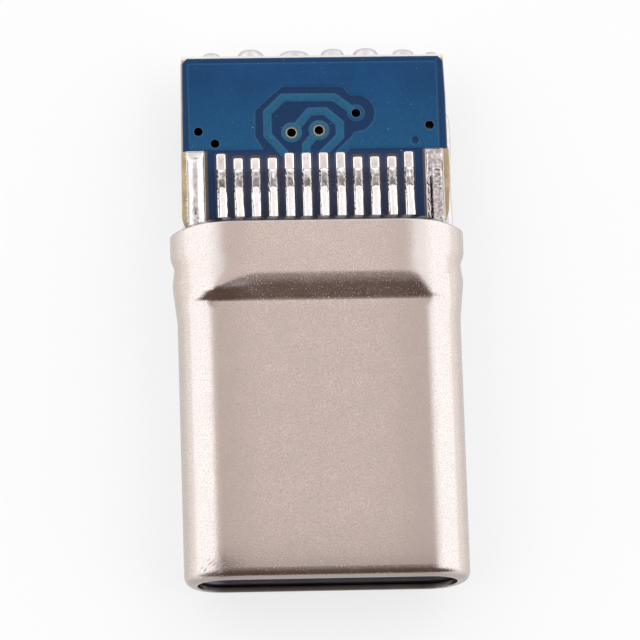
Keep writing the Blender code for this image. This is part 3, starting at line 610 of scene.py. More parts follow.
def moulded_resin(settings):
    """Black liquid crystal polymer, moulded: dull, faintly streaked along the flow, with specks of dust;
    its front is painted paler as light, with a painted highlight at its left end."""
    material, tree, shader, add = new_material("moulded_liquid_crystal_polymer")
    place = add(COORDINATES, output="Object")
    tone = tuple(settings.resin)
    # The front is painted paler, as light where little reaches into the mouth
    front = add(RANGE, (add(SPLIT, (place,), "Y"), MOUTH + 0.24 * MM, MOUTH + 0.36 * MM, 0.8, 0.0))
    streak = add(NOISE, {"Vector": add(STRETCH, {"Vector": place, "Scale": (1.0, 0.3, 1.0)}),
                         "Scale": 1 / settings.flow, "Detail": 3.0})
    grain = add(NOISE, {"Vector": place, "Scale": 1 / (0.04 * MM)})
    dust = add(NOISE, {"Vector": place, "Scale": 1 / (0.06 * MM), "Detail": 0.0})
    streaked = add(RANGE, (streak, 0.3, 0.7, 0.0, 1.0))
    # A painted highlight on the front's left end
    left_highlight = add(RANGE, (add(SPLIT, (place,), "X"), -2.85 * MM, -3.25 * MM, 0.0, 1.0))
    left_highlight = add(MATH, (front, left_highlight), operation="MULTIPLY")
    base = layered(tree, shade(tone, 0.8),
                   (streaked, shade(tone, 1.4)),
                   (front, srgb("#524C54")),
                   (left_highlight, srgb("#A0A5C3")),
                   (add(RANGE, (dust, 0.76, 0.84, 0.0, 0.4)), srgb("#8A8E98")))
    fill(tree, shader, {"IOR": 1.5, "Base Color": base,
                        "Roughness": add(RANGE, (streak, 0.3, 0.7, 0.38, 0.55)),
                        "Normal": add(BUMP, {"Height": grain, "Distance": 0.004 * MM, "Strength": 0.6})})
    return material


def reflowed_tin(name, tone, roughness, lump, depth, dull):
    """Tin that has melted and set: bright, with soft lumps of a size and a depth, patches that flux has
    dulled by an amount, and brown stains where the mesh marks them; on some joints those marks are
    painted shade, and a cleared band a painted highlight."""
    material, tree, shader, add = new_material(name)
    place = add(STRETCH, {"Vector": add(COORDINATES, output="Object"), "Scale": (1.0, 0.6, 1.0)})
    patches = add(NOISE, {"Vector": place, "Scale": 1 / (0.16 * MM), "Detail": 3.0, "Roughness": 0.6})
    grain = add(NOISE, {"Vector": place, "Scale": 1 / lump, "Detail": 3.0, "Roughness": 0.55})
    stain_and_shade = add(ATTRIBUTE, output="Fac", attribute_name="stain_and_shade")
    base = layered(tree, tone, (add(RANGE, (patches, 0.50, 0.72, 0.0, dull)), shade(tone, 0.42)),
                   (stain_and_shade, srgb("#40332A")))
    fill(tree, shader, {"Metallic": 1.0, "Base Color": base,
                        "Roughness": add(RANGE, (patches, 0.3, 0.7, roughness - 0.06, roughness + 0.12)),
                        "Normal": add(BUMP, {"Height": grain, "Distance": depth, "Strength": 1.0})})
    return material


def rolled_strip(settings):
    """Stainless spring strip, rolled and stamped: cool grey with fine lines along the strip."""
    material, tree, shader, add = new_material("rolled_stainless_strip")
    place = add(STRETCH, {"Vector": add(COORDINATES, output="Object"), "Scale": (1.0, 0.05, 1.0)})
    lines = add(NOISE, {"Vector": place, "Scale": 1 / (0.02 * MM), "Detail": 3.0})
    tone = tuple(settings.spring)
    fill(tree, shader, {"Metallic": 1.0,
                        "Base Color": layered(tree, shade(tone, 0.8),
                                              (add(RANGE, (lines, 0.3, 0.7, 0.0, 1.0)), tone)),
                        "Roughness": add(RANGE, (lines, 0.3, 0.7, 0.22, 0.4)),
                        "Normal": add(BUMP, {"Height": lines, "Distance": 0.002 * MM, "Strength": 1.0})})
    return material


def glass_epoxy(settings):
    """Routed glass-epoxy laminate: straw coloured, with paler ends of the glass plies along its edges
    and its rear rim, painted shade on its faces between and beside the pads, near black nearer the middle."""
    material, tree, shader, add = new_material("routed_glass_epoxy")
    place = add(COORDINATES, output="Object")
    tone = tuple(settings.laminate)
    plies = add(NOISE, {"Vector": add(STRETCH, {"Vector": place, "Scale": (0.12, 0.12, 1.0)}),
                        "Scale": 1 / (0.07 * MM), "Detail": 3.0})
    fibre = add(NOISE, {"Vector": place, "Scale": 1 / (0.05 * MM), "Detail": 3.0, "Roughness": 0.7})
    across = add(MATH, (add(SPLIT, (place,), "X"),), operation="ABSOLUTE")
    inner = add(RANGE, (across, 3.45 * MM, 3.60 * MM, 1.0, 0.0))
    along = add(SPLIT, (place,), "Y")
    pad_end = MOUTH + SIDE_PAD_END
    rear = MOUTH + BOARD_REAR
    fore = add(RANGE, (along, pad_end, pad_end + 0.1 * MM, 1.0, 0.0))
    # Beside the pads the resin is painted darker as shade, and nearer the middle, in the narrow gaps about
    # the pads, near black as shade
    base = layered(tree, shade(tone, 0.82),
                   (add(RANGE, (plies, 0.4, 0.62, 0.0, 1.0)), shade(tone, 1.25)),
                   (add(RANGE, (fibre, 0.60, 0.72, 0.0, 0.7)), srgb("#F1E6CC")),
                   (add(MATH, (inner, fore), operation="MULTIPLY"), tuple(settings.shaded_resin)),
                   (add(RANGE, (across, 3.05 * MM, 3.15 * MM, 0.6, 0.0)), srgb("#1C1A1C")),
                   (add(RANGE, (along, rear - 0.12 * MM, rear - 0.08 * MM, 0.0, 0.8)), srgb("#F2EEE8")))
    fill(tree, shader, {"IOR": 1.52, "Base Color": base,
                        "Roughness": add(RANGE, (fibre, 0.3, 0.7, 0.5, 0.75)),
                        "Normal": add(BUMP, {"Height": fibre, "Distance": 0.01 * MM, "Strength": 0.8})})
    return material


def cured_lacquer(settings):
    """Blue photo-imaged lacquer, cured: glossy, clear blue over copper and near black over bare board,
    paler where it thins on the traces, the rings of the holes and the edges of its windows, with a
    painted highlight along the edges of the copper."""
    material, tree, shader, add = new_material("cured_blue_lacquer")
    copper, ring, trace, border, window = (
        add(ATTRIBUTE, output="Fac", attribute_name=title)
        for title in ("copper", "ring", "trace", "border", "window"))
    place = add(COORDINATES, output="Object")
    side = add(SPLIT, (place,), "X")
    across = add(MATH, (side,), operation="ABSOLUTE")
    along = add(SPLIT, (place,), "Y")
    pad_end = MOUTH + PLANE_FRONT
    cloud = add(NOISE, {"Vector": place, "Scale": 1 / (1.6 * MM)})
    grain = add(NOISE, {"Vector": place, "Scale": 1 / (0.06 * MM)})
    dust = add(NOISE, {"Vector": place, "Scale": 1 / (0.05 * MM), "Detail": 0.0})
    over_copper = tuple(settings.over_copper)
    over_resin = tuple(settings.over_resin)
    blue = layered(tree, shade(over_copper, 0.88),
                   (add(RANGE, (cloud, 0.35, 0.65, 0.0, 1.0)), shade(over_copper, 1.18)),
                   (add(RANGE, (side, 1.8 * MM, 3.6 * MM, 0.0, 0.5)), srgb("#124062")),
                   (add(RANGE, (along, pad_end, pad_end + 2.1 * MM, 1.0, 0.08)), srgb("#1B5379")),
                   (trace, tuple(settings.over_trace)),
                   (add(RANGE, (ring, 0.0, 1.0, 0.0, 0.85)), tuple(settings.over_ring)))
    # Between the pads the lacquer is duller
    dull = add(MATH, (add(RANGE, (along, pad_end - 0.45 * MM, pad_end, 1.0, 0.0)),
                      add(RANGE, (across, 2.85 * MM, 2.95 * MM, 1.0, 0.12))), operation="MULTIPLY")
    dark = layered(tree, over_resin, (dull, tuple(settings.over_pads)),
                   (add(RANGE, (border, 0.0, 0.25 * MM, 0.65, 0.0)), over_copper))
    rim = add(MATH, (copper,), operation="ABSOLUTE")
    # A pale line along the edges of the copper is a painted highlight on the lacquer's relief
    base = layered(tree, dark,
                   (add(RANGE, (copper, -0.012 * MM, 0.012 * MM, 0.0, 1.0)), blue),
                   (add(RANGE, (rim, 0.0, 0.03 * MM, 0.30, 0.0)), srgb("#4A7390")),
                   (add(RANGE, (window, 0.0, 0.03 * MM, 0.45, 0.0)), srgb("#6F8398")),
                   (add(RANGE, (grain, 0.3, 0.7, 0.0, 0.35)), over_resin),
                   (add(RANGE, (dust, 0.84, 0.88, 0.0, 0.6)), srgb("#9FB4C4")))
    fill(tree, shader, {"IOR": 1.22, "Base Color": base,
                        "Roughness": add(RANGE, (cloud, 0.3, 0.7, 0.22, 0.34)),
                        "Normal": add(BUMP, {"Height": grain, "Distance": 0.0022 * MM, "Strength": 1.0})})
    return material


def plated_hole(settings):
    """Copper barrel of a drilled hole: painted dark brown inside as shade, dull, pinkish grey on its bare
    ring.
    """
    material, tree, shader, add = new_material("tarnished_copper_barrel_shaded_inside")
    place = add(COORDINATES, output="Object")
    face = AXIS + BOARD_FACE
    copper = tuple(settings.copper)
    grain = add(NOISE, {"Vector": place, "Scale": 1 / (0.05 * MM)})
    bare = layered(tree, copper, (add(RANGE, (grain, 0.3, 0.7, 0.0, 0.5)), shade(copper, 0.6)))
    # Below the board's face the barrel is painted dark as shade
    bright = add(RANGE, (add(SPLIT, (place,), "Z"), face - 0.01 * MM, face + 0.005 * MM, 0.0, 1.0))
    fill(tree, shader, {"Metallic": 1.0, "Roughness": 0.45,
                        "Base Color": layered(tree, srgb("#120D0B"), (bright, bare))})
    return material


def dress(names, material):
    """Give frame nodes a finish."""
    for name in names:
        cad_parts[name].material_slots[0].material = material


# Shell

# Side swell of the shell, per side beyond the tube, and where it turns
SWELL_LENGTH = 0.405 * MM
BULGE = 0.12 * MM
WAIST = 0.05 * MM
FLARE = 0.16 * MM
BULGE_PLACE = RIM - 1.56 * MM
WAIST_PLACE = RIM - 1.03 * MM
FLARE_PLACE = RIM - 0.76 * MM
# Steps of the mesh: round each end, across each flat, along the tube and at each crease
SHELL_END_STEPS = 44
SHELL_FLAT_STEPS = 20
SHELL_STEP = 0.35 * MM
CREASE_STATIONS = 19
# Round of the lip's rear edge and of the rim's inner one, and half the length of a crease at the sides
RIM_EDGE = 0.03 * MM
SIDE_CREASE = 0.09 * MM
# How far the sheet ends past its node, and how far the shear draws its inner edge past the outer one
SHEET_PAST = 0.02 * MM
SHEAR_DRAG = 0.16 * MM
# The rim bows forward at the sides, between these distances from the axis
RIM_BOW = 0.07 * MM
BOW_START = 3.3 * MM
BOW_END = 4.2 * MM
# How much wider than the tube's flats the ramp starts, per side
RAMP_SPREAD = 0.20 * MM
# How early the upper ramp ends on the left, as a share of its length, and where that sets in, is full
# and has gone, from the axis
RAMP_LEAD = 0.52
LEAD_START = 1.8 * MM
LEAD_FULL = 3.1 * MM
LEAD_GONE = 4.1 * MM
# Share of the lip's turn that its flats lack
LIP_EASING = 0.8
# The mouth's left corner, rubbed down, and its nicks (x, y and z from the mouth's middle)
RUBBED_CORNER = (-3.15 * MM, 0.12 * MM)
RUBBED_REACH = (0.42 * MM, 0.30 * MM)
RUBBED_DEPTH = 0.04 * MM
RUBBED_ABOVE = 0.6 * MM
NICKED_CORNER = (-3.40 * MM, 0.20 * MM, 1.05 * MM)


def ramp_height(y, shell, lead):
    """Height gained on the ramp: an even slope between two eased kinks, the upper one brought forward by
    a lead, a share of the ramp's length."""
    run = shell.ramp_length * (1 - lead)
    ease = shell.shoulder * (1 - lead)
    past = y - shell.tube_length
    return shell.ramp_rise / run * (soft_ramp(past, shell.crease) - soft_ramp(past - run, ease))


def shell_section(y, shell):
    """Half width, half height and half the flat middle of the shell at y, by runs with eased kinks."""
    foot = shell.tube_length
    top = foot + shell.ramp_length
    half_width = shell.width / 2
    half_height = shell.height / 2
    widths = (
        (foot - SWELL_LENGTH, half_width),
        (BULGE_PLACE, half_width + BULGE),
        (WAIST_PLACE, half_width + WAIST),
        (FLARE_PLACE, half_width + FLARE),
    )
    heights = half_height + ramp_height(y, shell, 0.0)
    heights = heights - shell.taper * np.clip(1 - y / shell.taper_length, 0.0, 1.0) ** 2
    middle = half_width - half_height
    narrow = half_width + WAIST - shell.collar_end
    narrowing = (
        (foot - shell.shoulder, middle),
        (foot + shell.crease, middle + RAMP_SPREAD),
        (top + 1.5 * shell.shoulder, narrow),
    )
    return kinked(y, widths, SIDE_CREASE), heights, kinked(y, narrowing, shell.shoulder / 2)


def shell_profile(shell):
    """Rows (y, inset) round the wall of the shell, from the lip's rear edge over the mouth's round,
    along the outside, round the rim, down its slanted face and back along the inside."""
    foot = shell.tube_length
    top = foot + shell.ramp_length
    edge = RIM_EDGE
    rear = RIM + SHEET_PAST
    lip = arc((edge, shell.lip_depth - edge), edge, 90, 180, 4)
    mouth = arc((shell.mouth_radius, shell.mouth_radius), shell.mouth_radius, 180, 270, 18)
    creases = (foot - SWELL_LENGTH, foot, top, WAIST_PLACE, FLARE_PLACE, rear - 0.3 * MM)
    reach = 1.3 * shell.shoulder
    stations = spread(shell.mouth_radius, rear - shell.rim_radius, SHELL_STEP)
    for place in creases:
        stations = stations[np.abs(stations - place) > reach]
        stations = np.concatenate([stations, place + reach * np.linspace(-1, 1, CREASE_STATIONS)])
    stations = np.unique(np.round(stations, 8))
    stations = stations[(stations > shell.mouth_radius) & (stations < rear - shell.rim_radius)]
    outer = np.column_stack([stations, np.zeros(len(stations))])
    rim = arc((rear - shell.rim_radius, shell.rim_radius), shell.rim_radius, 270, 325, 6)
    inner_edge = arc((rear + SHEAR_DRAG - edge, shell.wall - edge), edge, -35, 90, 5)
    inner = np.column_stack([stations[::-1], np.full(len(stations), shell.wall)])
    corner = shell.mouth_radius - shell.wall
    inner_corner = arc((shell.lip_thickness + corner, shell.mouth_radius), corner, 270, 180, 3)
    return np.vstack([[(shell.lip_thickness, shell.lip_depth)], lip, mouth, outer, rim, inner_edge,
                      inner, inner_corner])


def oval_rings(middle, end_length, half_height):
    """Rings of a flat oval: half an ellipse at each end of a straight middle."""
    end = np.linspace(-0.5, 0.5, SHELL_END_STEPS + 1) * math.pi
    run = np.linspace(1, -1, SHELL_FLAT_STEPS + 2)[1:-1]
    shift = np.concatenate([np.ones(len(end)), run, -np.ones(len(end)), -run])
    turn = np.concatenate([end, np.full(len(run), math.pi / 2), end + math.pi,
                           np.full(len(run), -math.pi / 2)])
    x = middle[:, None] * shift + end_length[:, None] * np.cos(turn)
    z = half_height[:, None] * np.sin(turn)
    return x, z


class PLUG_OT_shell(bpy.types.Operator):
    """Drawn shell with its turned-in lip, ramp and waisted collar."""

    bl_idname = "plug.shell"
    bl_label = "Shell"

    def execute(self, context):
        """Carry the wall's profile round the flat oval section."""
        shell = context.scene.plug_shell
        profile = shell_profile(shell)
        half_width, half_height, middle = shell_section(profile[:, 0], shell)
        inset = profile[:, 1]
        # The lip turns in less on the flats than at the ends
        drop = inset - LIP_EASING * np.maximum(inset - shell.mouth_radius, 0.0)
        x, z = oval_rings(middle, half_width - middle - inset, half_height - drop)
        # On the left of the upper face the ramp ends early
        back = profile[:, :1]
        lead = RAMP_LEAD * rise(-x, LEAD_START, LEAD_FULL) * rise(x, -LEAD_GONE, -LEAD_FULL)
        early = ramp_height(back, shell, lead) - ramp_height(back, shell, 0.0)
        z = z * (1 + early / half_height[:, None] * (z > 0))
        # Towards the sides the sheared face narrows and the rim bows forward
        y = back - 0.5 * np.maximum(back - RIM, 0.0) * rise(np.abs(x), 2.8 * MM, 3.6 * MM)
        y = y - RIM_BOW * rise(np.abs(x), BOW_START, BOW_END) * rise(y, RIM - 0.6 * MM, RIM)
        z = z - RUBBED_DEPTH * bell(x, y, RUBBED_CORNER, RUBBED_REACH) * (z > RUBBED_ABOVE)
        points = np.stack([x, y, z], axis=-1)
        quads = grid_quads(*x.shape, wrap_rows=True, wrap_columns=True)
        add_piece("shell_finish", points.reshape(-1, 3), [quads], blasted_nickel(shell), "shell_steel",
                  ["shell"])
        return {"FINISHED"}


class PLUG_OT_mouldings(bpy.types.Operator):
    """Finish of the insulators."""

    bl_idname = "plug.mouldings"
    bl_label = "Mouldings"

    def execute(self, context):
        """Dress the front insulator and the two wafers."""
        dress(("front_insulator", "upper_wafer", "lower_wafer"),
              moulded_resin(context.scene.plug_mouldings))
        return {"FINISHED"}


# Contacts

# Side view of a contact: where its tip stands back from the mouth, the runs from there to its crown and
# along its spring, the levels above the axis, and its tail and foot behind the rim
TIP_SETBACK = 0.96 * MM
CROWN_RUN = 0.60 * MM
SPRING_RUN = 2.70 * MM
CROWN_LEVEL = 0.36 * MM
TIP_LEVEL = 0.56 * MM
STRIP_LEVEL = 0.64 * MM
FOOT_LEVEL = 0.455 * MM
FOOT_RUN = 0.54 * MM
TAIL_START = 0.30 * MM
FOOT_END = 1.84 * MM
# The last stretch of a contact has finer steps, because its tail sways and varies in breadth
TAIL_STRETCH = 2.2 * MM
TAIL_STEP = 0.07 * MM
TAIL_SWAY = 0.028 * MM
TAIL_UNEVEN = 0.13


def eased_line(corners, reach, steps):
    """Line through corners, each replaced by the parabola that leaves and meets its two sides."""
    corners = np.array(corners)
    parts = [corners[:1]]
    t = np.linspace(0, 1, steps + 1)[:, None]
    for before, corner, after in zip(corners, corners[1:], corners[2:]):
        back = np.linalg.norm(before - corner)
        onward = np.linalg.norm(after - corner)
        cut = min(reach, back / 3, onward / 3)
        start = corner + (before - corner) * cut / back
        end = corner + (after - corner) * cut / onward
        parts.append(start * (1 - t) ** 2 + corner * 2 * t * (1 - t) + end * t ** 2)
    parts.append(corners[-1:])
    return np.vstack(parts)


def contact_line(side, bend):
    """Side view of a contact, (y, z): tip, crown, spring, straight run, tail and foot."""
    crown = TIP_SETBACK + CROWN_RUN
    foot_end = RIM + FOOT_END
    corners = [
        (TIP_SETBACK, TIP_LEVEL),
        (crown, CROWN_LEVEL),
        (crown + SPRING_RUN, STRIP_LEVEL),
        (RIM + TAIL_START, STRIP_LEVEL),
        (foot_end - FOOT_RUN, FOOT_LEVEL),
        (foot_end, FOOT_LEVEL),
    ]
    line = eased_line(corners, bend, 8)
    run = np.concatenate([[0.0], np.cumsum(np.linalg.norm(np.diff(line, axis=0), axis=1))])
    places = np.unique(np.concatenate([run, spread(run[-1] - TAIL_STRETCH, run[-1], TAIL_STEP)]))
    return np.column_stack([np.interp(places, run, column) for column in line.T]) * (1, side)


def round_rectangle(half_width, half_height, radius):
    """Ring of a rectangle with round corners, each a quarter arc."""
    corners = ((1, 1, 0), (-1, 1, 90), (-1, -1, 180), (1, -1, 270))
    return np.vstack([
        arc((side_x * (half_width - radius), side_z * (half_height - radius)), radius, start,
            start + 90, 4) for side_x, side_z, start in corners])


def swept(line, ring, x, breadth):
    """Ring carried along a line in the YZ plane, square to it: its first number runs along X, widened
    by the breadth, and its second along the line's normal."""
    along = np.gradient(line, axis=0)
    along /= np.linalg.norm(along, axis=1)[:, None]
    normal = np.column_stack([-along[:, 1], along[:, 0]])
    across = x[:, None] + breadth[:, None] * ring[:, 0]
    y = line[:, :1] + normal[:, :1] * ring[:, 1]
    z = line[:, 1:] + normal[:, 1:] * ring[:, 1]
    return np.stack([across, y, z], axis=-1)


class PLUG_OT_contacts(bpy.types.Operator):
    """Stamped and tinned spring contacts, one for each contact of the frame."""

    bl_idname = "plug.contacts"
    bl_label = "Contacts"

    def execute(self, context):
        """Carry a round-edged section along each contact's line, its tail a little crooked."""
        contacts = context.scene.plug_contacts
        tin = reflowed_tin("tinned_contact_bronze", tuple(contacts.tin), roughness=0.18, lump=0.09 * MM,
                           depth=0.016 * MM, dull=0.3)
        ring = round_rectangle(contacts.width / 2, contacts.thickness / 2, contacts.edge)
        for names, side in ((UPPER_CONTACTS, 1), (LOWER_CONTACTS, -1)):
            line = contact_line(side, contacts.bend)
            tail = rise(line[:, 0], RIM, RIM + 0.4 * MM)
            for number, name in enumerate(names):
                # Each contact reads the random heights along a row of its own
                row = np.full(len(line), 0.37 * MM) * number
                sway = TAIL_SWAY * tail * lumps(line[:, 0], row, 0.55 * MM, 61)
                breadth = 1 + TAIL_UNEVEN * tail * lumps(line[:, 0], row, 0.16 * MM, 62)
                points, faces = tube(swept(line, ring, middle_of(name) + sway, breadth))
                add_piece(name + "_finish", points, faces, tin, "contact_metal", [name])
        return {"FINISHED"}


class PLUG_OT_springs(bpy.types.Operator):
    """Finish of the latch plate and the ground springs."""

    bl_idname = "plug.springs"
    bl_label = "Latch and springs"

    def execute(self, context):
        """Dress the stainless pieces."""
        dress(("latch_plate", "upper_ground_spring", "lower_ground_spring"),
              rolled_strip(context.scene.plug_contacts))
        return {"FINISHED"}


# Board

BOARD_LOW, BOARD_HIGH = (np.array(corner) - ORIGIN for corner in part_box("circuit_board"))
BOARD_FRONT = BOARD_LOW[1]
BOARD_REAR = BOARD_HIGH[1]
PAD_TOP = BOARD_HIGH[2]
PAD_THICKNESS = 0.035 * MM
BOARD_FACE = PAD_TOP - PAD_THICKNESS
# The round of the front corners and the cuts across the rear ones, how far the lacquer keeps from the
# sides and the rear edge, and the grid of the laminate
BOARD_CORNER = 0.75 * MM
LAMINATE_CHAMFER = 0.02 * MM
LACQUER_CHAMFER = 0.14 * MM
LACQUER_EDGE = 0.015 * MM
LACQUER_REAR_EDGE = 0.06 * MM
LAMINATE_STEP = 0.055 * MM
# The film above the board's face: its underside, its top, and how much its edges and its dent lose
LACQUER_GAP = 0.002 * MM
LACQUER_TOP = 0.014 * MM
LACQUER_THINNING = 0.008 * MM
LACQUER_DENT = 0.010 * MM
# The routed sides, from the front back: distance from the axis and place
RIGHT_SIDE = ((3.89 * MM, 11.2 * MM), (3.935 * MM, 11.9 * MM), (3.935 * MM, 12.85 * MM),
              (3.905 * MM, 12.95 * MM), (3.90 * MM, 14.5 * MM), (3.865 * MM, 15.7 * MM))
LEFT_SIDE = ((3.90 * MM, 11.2 * MM), (3.865 * MM, 13.5 * MM), (3.83 * MM, 15.7 * MM))
BOARD_HALF_WIDTH = 3.94 * MM

# Pads: their ends back from the mouth, which of them are short, missing below or dull, and the pads at
# the sides with their distances from the axis
PAD_WIDTH = 0.25 * MM
LONG_PAD = RIM + 2.33 * MM
SHORT_PAD = RIM + 2.19 * MM
SHORT_PADS = (2, 3, 4, 9, 10, 11)
EMPTY_LOWER_PADS = (6, 7)
DULL_PADS = (1, 7, 8, 10, 11, 12)
SIDE_PAD_INNER = 3.24 * MM
SIDE_PAD_OUTER = 3.76 * MM
SIDE_PAD_END = RIM + 2.42 * MM
EDGE_PAD_END = RIM + 3.90 * MM
# Tin on a pad: how far it laps over the edge, the round of its corners, its least height, crown and
# waves, and how stained a clean pad, a dull one and a side pad are
TIN_LAP = 0.004 * MM
TIN_ROUND = 0.05 * MM
TIN_LEVEL = 0.004 * MM
TIN_CROWN = 0.014 * MM
TIN_WAVE = 0.003 * MM
CLEAN_STAIN = 0.04
DULL_STAIN = 0.16
SIDE_STAIN = 0.1

# Windows in the lacquer: margins beside a contact pad, then past its end and the round of its corners,
# for a short pad and a long one
WINDOW_LEFT = 0.035 * MM
WINDOW_RIGHT = 0.045 * MM
SHORT_WINDOW = (0.08 * MM, 0.09 * MM)
LONG_WINDOW = (0.01 * MM, 0.02 * MM)
RIGHT_WINDOW_INNER = SIDE_PAD_INNER - 0.06 * MM
LEFT_WINDOW_INNER = SIDE_PAD_INNER - 0.085 * MM
WIRE_WINDOW_MARGIN = 0.02 * MM
WIRE_WINDOW_FRONT = BOARD_REAR - 1.32 * MM

# Drilled holes (x, y from the mouth), the two with bare rings first; one more is closed by lacquer
HOLE_RADIUS = 0.135 * MM
HOLE_WINDOW_RADIUS = HOLE_RADIUS - 0.004 * MM
RING_RADIUS = 0.295 * MM
TRACE_RING_RADIUS = RING_RADIUS - 0.05 * MM
BARE_RING_RADIUS = 0.167 * MM
RINGED_HOLES = ((-0.66 * MM, 13.44 * MM), (0.15 * MM, 13.50 * MM))
TRACE_HOLE = (1.25 * MM, 14.01 * MM)
PLANE_HOLES = ((-3.39 * MM, 13.50 * MM), (-2.91 * MM, 13.13 * MM), (3.40 * MM, 13.62 * MM))
TENTED_HOLE = (2.96 * MM, 13.16 * MM)
OPEN_HOLES = RINGED_HOLES + PLANE_HOLES + (TRACE_HOLE,)
# The plated barrels: how far a bare ring's flange laps out and stands above the board's face, how far
# the others stop below it, and the round of their edges
FLANGE_LAP = 0.006 * MM
FLANGE_RISE = 0.016 * MM
BARREL_SUNK = 0.02 * MM
BARREL_ROUND = 0.006 * MM

# Copper under the lacquer: the ground plane, its clearance and the traces in that, (x, y) from the
# mouth in millimetres; the first three traces show through the lacquer
PLANE_HALF_WIDTH = 3.66 * MM
PLANE_REAR = 15.57 * MM
PLANE_FRONT = 12.94 * MM
PLANE_CORNER = 0.06 * MM
CLEARANCE = (
    (-0.90, 14.85), (0.80, 14.83), (0.93, 14.78), (1.03, 14.62), (1.10, 14.56), (1.25, 14.55),
    (1.55, 13.50), (1.17, 13.41), (1.13, 13.32), (1.03, 13.22), (0.66, 12.86), (-1.46, 12.86),
    (-1.74, 13.34), (-1.72, 14.11), (-1.45, 14.38), (-1.04, 14.73),
)
HOLE_CLEARANCE = 0.555 * MM
TRACES = (
    ((-0.88, 12.80), (-1.36, 13.36), (-1.36, 14.05), (-0.89, 14.51), (0.62, 14.50), (1.25, 14.01)),
    ((-0.66, 13.44), (-0.12, 14.07), (0.35, 14.08), (0.76, 13.70), (0.76, 13.30), (0.25, 12.80)),
    ((0.15, 13.50), (-0.24, 13.05), (-0.25, 12.80)),
    ((0.75, 12.80), (0.98, 13.03), (1.20, 13.20)),
)
SHOWN_TRACES = 3


def in_metres(points):
    """Points given in millimetres."""
    return [(x * MM, y * MM) for x, y in points]


def contact_pads(side):
    """Number, middle and rear end of each contact pad on one face."""
    return [(number, middle_of(name), SHORT_PAD if number in SHORT_PADS else LONG_PAD)
            for number, name in enumerate(UPPER_CONTACTS, 1)
            if side > 0 or number not in EMPTY_LOWER_PADS]


def side_pad_end(mirror, side):
    """Rear end of the pad at one side: only the lower one on the right is long."""
    return EDGE_PAD_END if mirror > 0 > side else SIDE_PAD_END


def board_area(step):
    """Two corners of a plan that holds the board, with a step to spare."""
    reach = np.array([BOARD_HALF_WIDTH, 0.0]) + step
    return np.array([0.0, BOARD_FRONT]) - reach, np.array([0.0, BOARD_REAR]) + reach


def board_outline(inset, rear_inset, chamfer):
    """Corners of the routed board, or of the lacquer set in from its edge: round in front, drawn in a
    little towards the rear, whose corners are cut."""
    front = BOARD_FRONT + inset
    rear = BOARD_REAR - rear_inset
    radius = BOARD_CORNER - inset
    corners = []
    for mirror, side in ((1, RIGHT_SIDE), (-1, LEFT_SIDE)):
        edge = [(half - inset, y) for half, y in side]
        round_front = arc((edge[0][0] - radius, front + radius), radius, 270, 360, 8)
        last = edge[-1][0]
        run = [tuple(point) for point in round_front] + edge[:-1]
        run += [(last, rear - chamfer), (last - chamfer, rear)]
        corners.append([(mirror * x, y) for x, y in run])
    return corners[0] + corners[1][::-1]


def opening_distance(x, y, side):
    """Signed distance to the openings in the lacquer: round-ended windows about the pads, straight
    ones about the side pads and, above, the holes or, below, the wire pads."""
    front = BOARD_FRONT - 1.0 * MM
    far = 8 * MM
    gaps = []
    for number, middle, end in contact_pads(side):
        past, radius = SHORT_WINDOW if number in SHORT_PADS else LONG_WINDOW
        low = (middle - PAD_WIDTH / 2 - WINDOW_LEFT, front)
        high = (middle + PAD_WIDTH / 2 + WINDOW_RIGHT, end + past)
        gaps.append(box_distance(x, y, low, high, radius))
    for mirror, inner in ((1, RIGHT_WINDOW_INNER), (-1, LEFT_WINDOW_INNER)):
        low_x, high_x = sorted((mirror * inner, mirror * far))
        gaps.append(box_distance(x, y, (low_x, front), (high_x, side_pad_end(mirror, side))))
    if side > 0:
        gaps += [disc_distance(x, y, hole, BARE_RING_RADIUS) for hole in RINGED_HOLES]
        gaps += [disc_distance(x, y, hole, HOLE_WINDOW_RADIUS) for hole in PLANE_HOLES + (TRACE_HOLE,)]
    else:
        for low, high in map(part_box, WIRE_JOINTS):
            gaps.append(box_distance(x, y, (low.x - WIRE_WINDOW_MARGIN, WIRE_WINDOW_FRONT),
                                     (high.x + WIRE_WINDOW_MARGIN, 2 * BOARD_REAR)))
    return nearest(gaps)


def plane_distance(x, y, radius=0.0):
    """Signed distance to the ground plane, a rectangle."""
    return box_distance(x, y, (-PLANE_HALF_WIDTH, PLANE_FRONT), (PLANE_HALF_WIDTH, PLANE_REAR), radius)


def copper_distance(x, y, trace):
    """Signed distance to the copper of the upper face: the plane less its clearance, the traces and
    the rings of the holes, less the hole that the lacquer closes."""
    clear = np.minimum(outline_distance(x, y, in_metres(CLEARANCE)),
                       disc_distance(x, y, TRACE_HOLE, HOLE_CLEARANCE))
    copper = [np.maximum(plane_distance(x, y, PLANE_CORNER), -clear)]
    copper += [line_distance(x, y, in_metres(line), trace) for line in TRACES]
    copper += [disc_distance(x, y, hole, RING_RADIUS) for hole in RINGED_HOLES]
    copper += [disc_distance(x, y, TRACE_HOLE, TRACE_RING_RADIUS)]
    return np.maximum(nearest(copper), -disc_distance(x, y, TENTED_HOLE, HOLE_RADIUS - 0.01 * MM))


def ring_tint(x, y):
    """One on the rings of the ringed holes, fading out past them by 3t2 - 2t3."""
    gap = nearest(disc_distance(x, y, hole, RING_RADIUS - 0.03 * MM) for hole in RINGED_HOLES)
    return 1 - rise(gap, 0.0, 0.06 * MM)


def trace_tint(x, y, width):
    """One on the three traces that lead to holes, fading out past their sides by 3t2 - 2t3."""
    gap = nearest(line_distance(x, y, in_metres(line), width) for line in TRACES[:SHOWN_TRACES])
    return 1 - rise(gap, 0.0, 0.03 * MM)


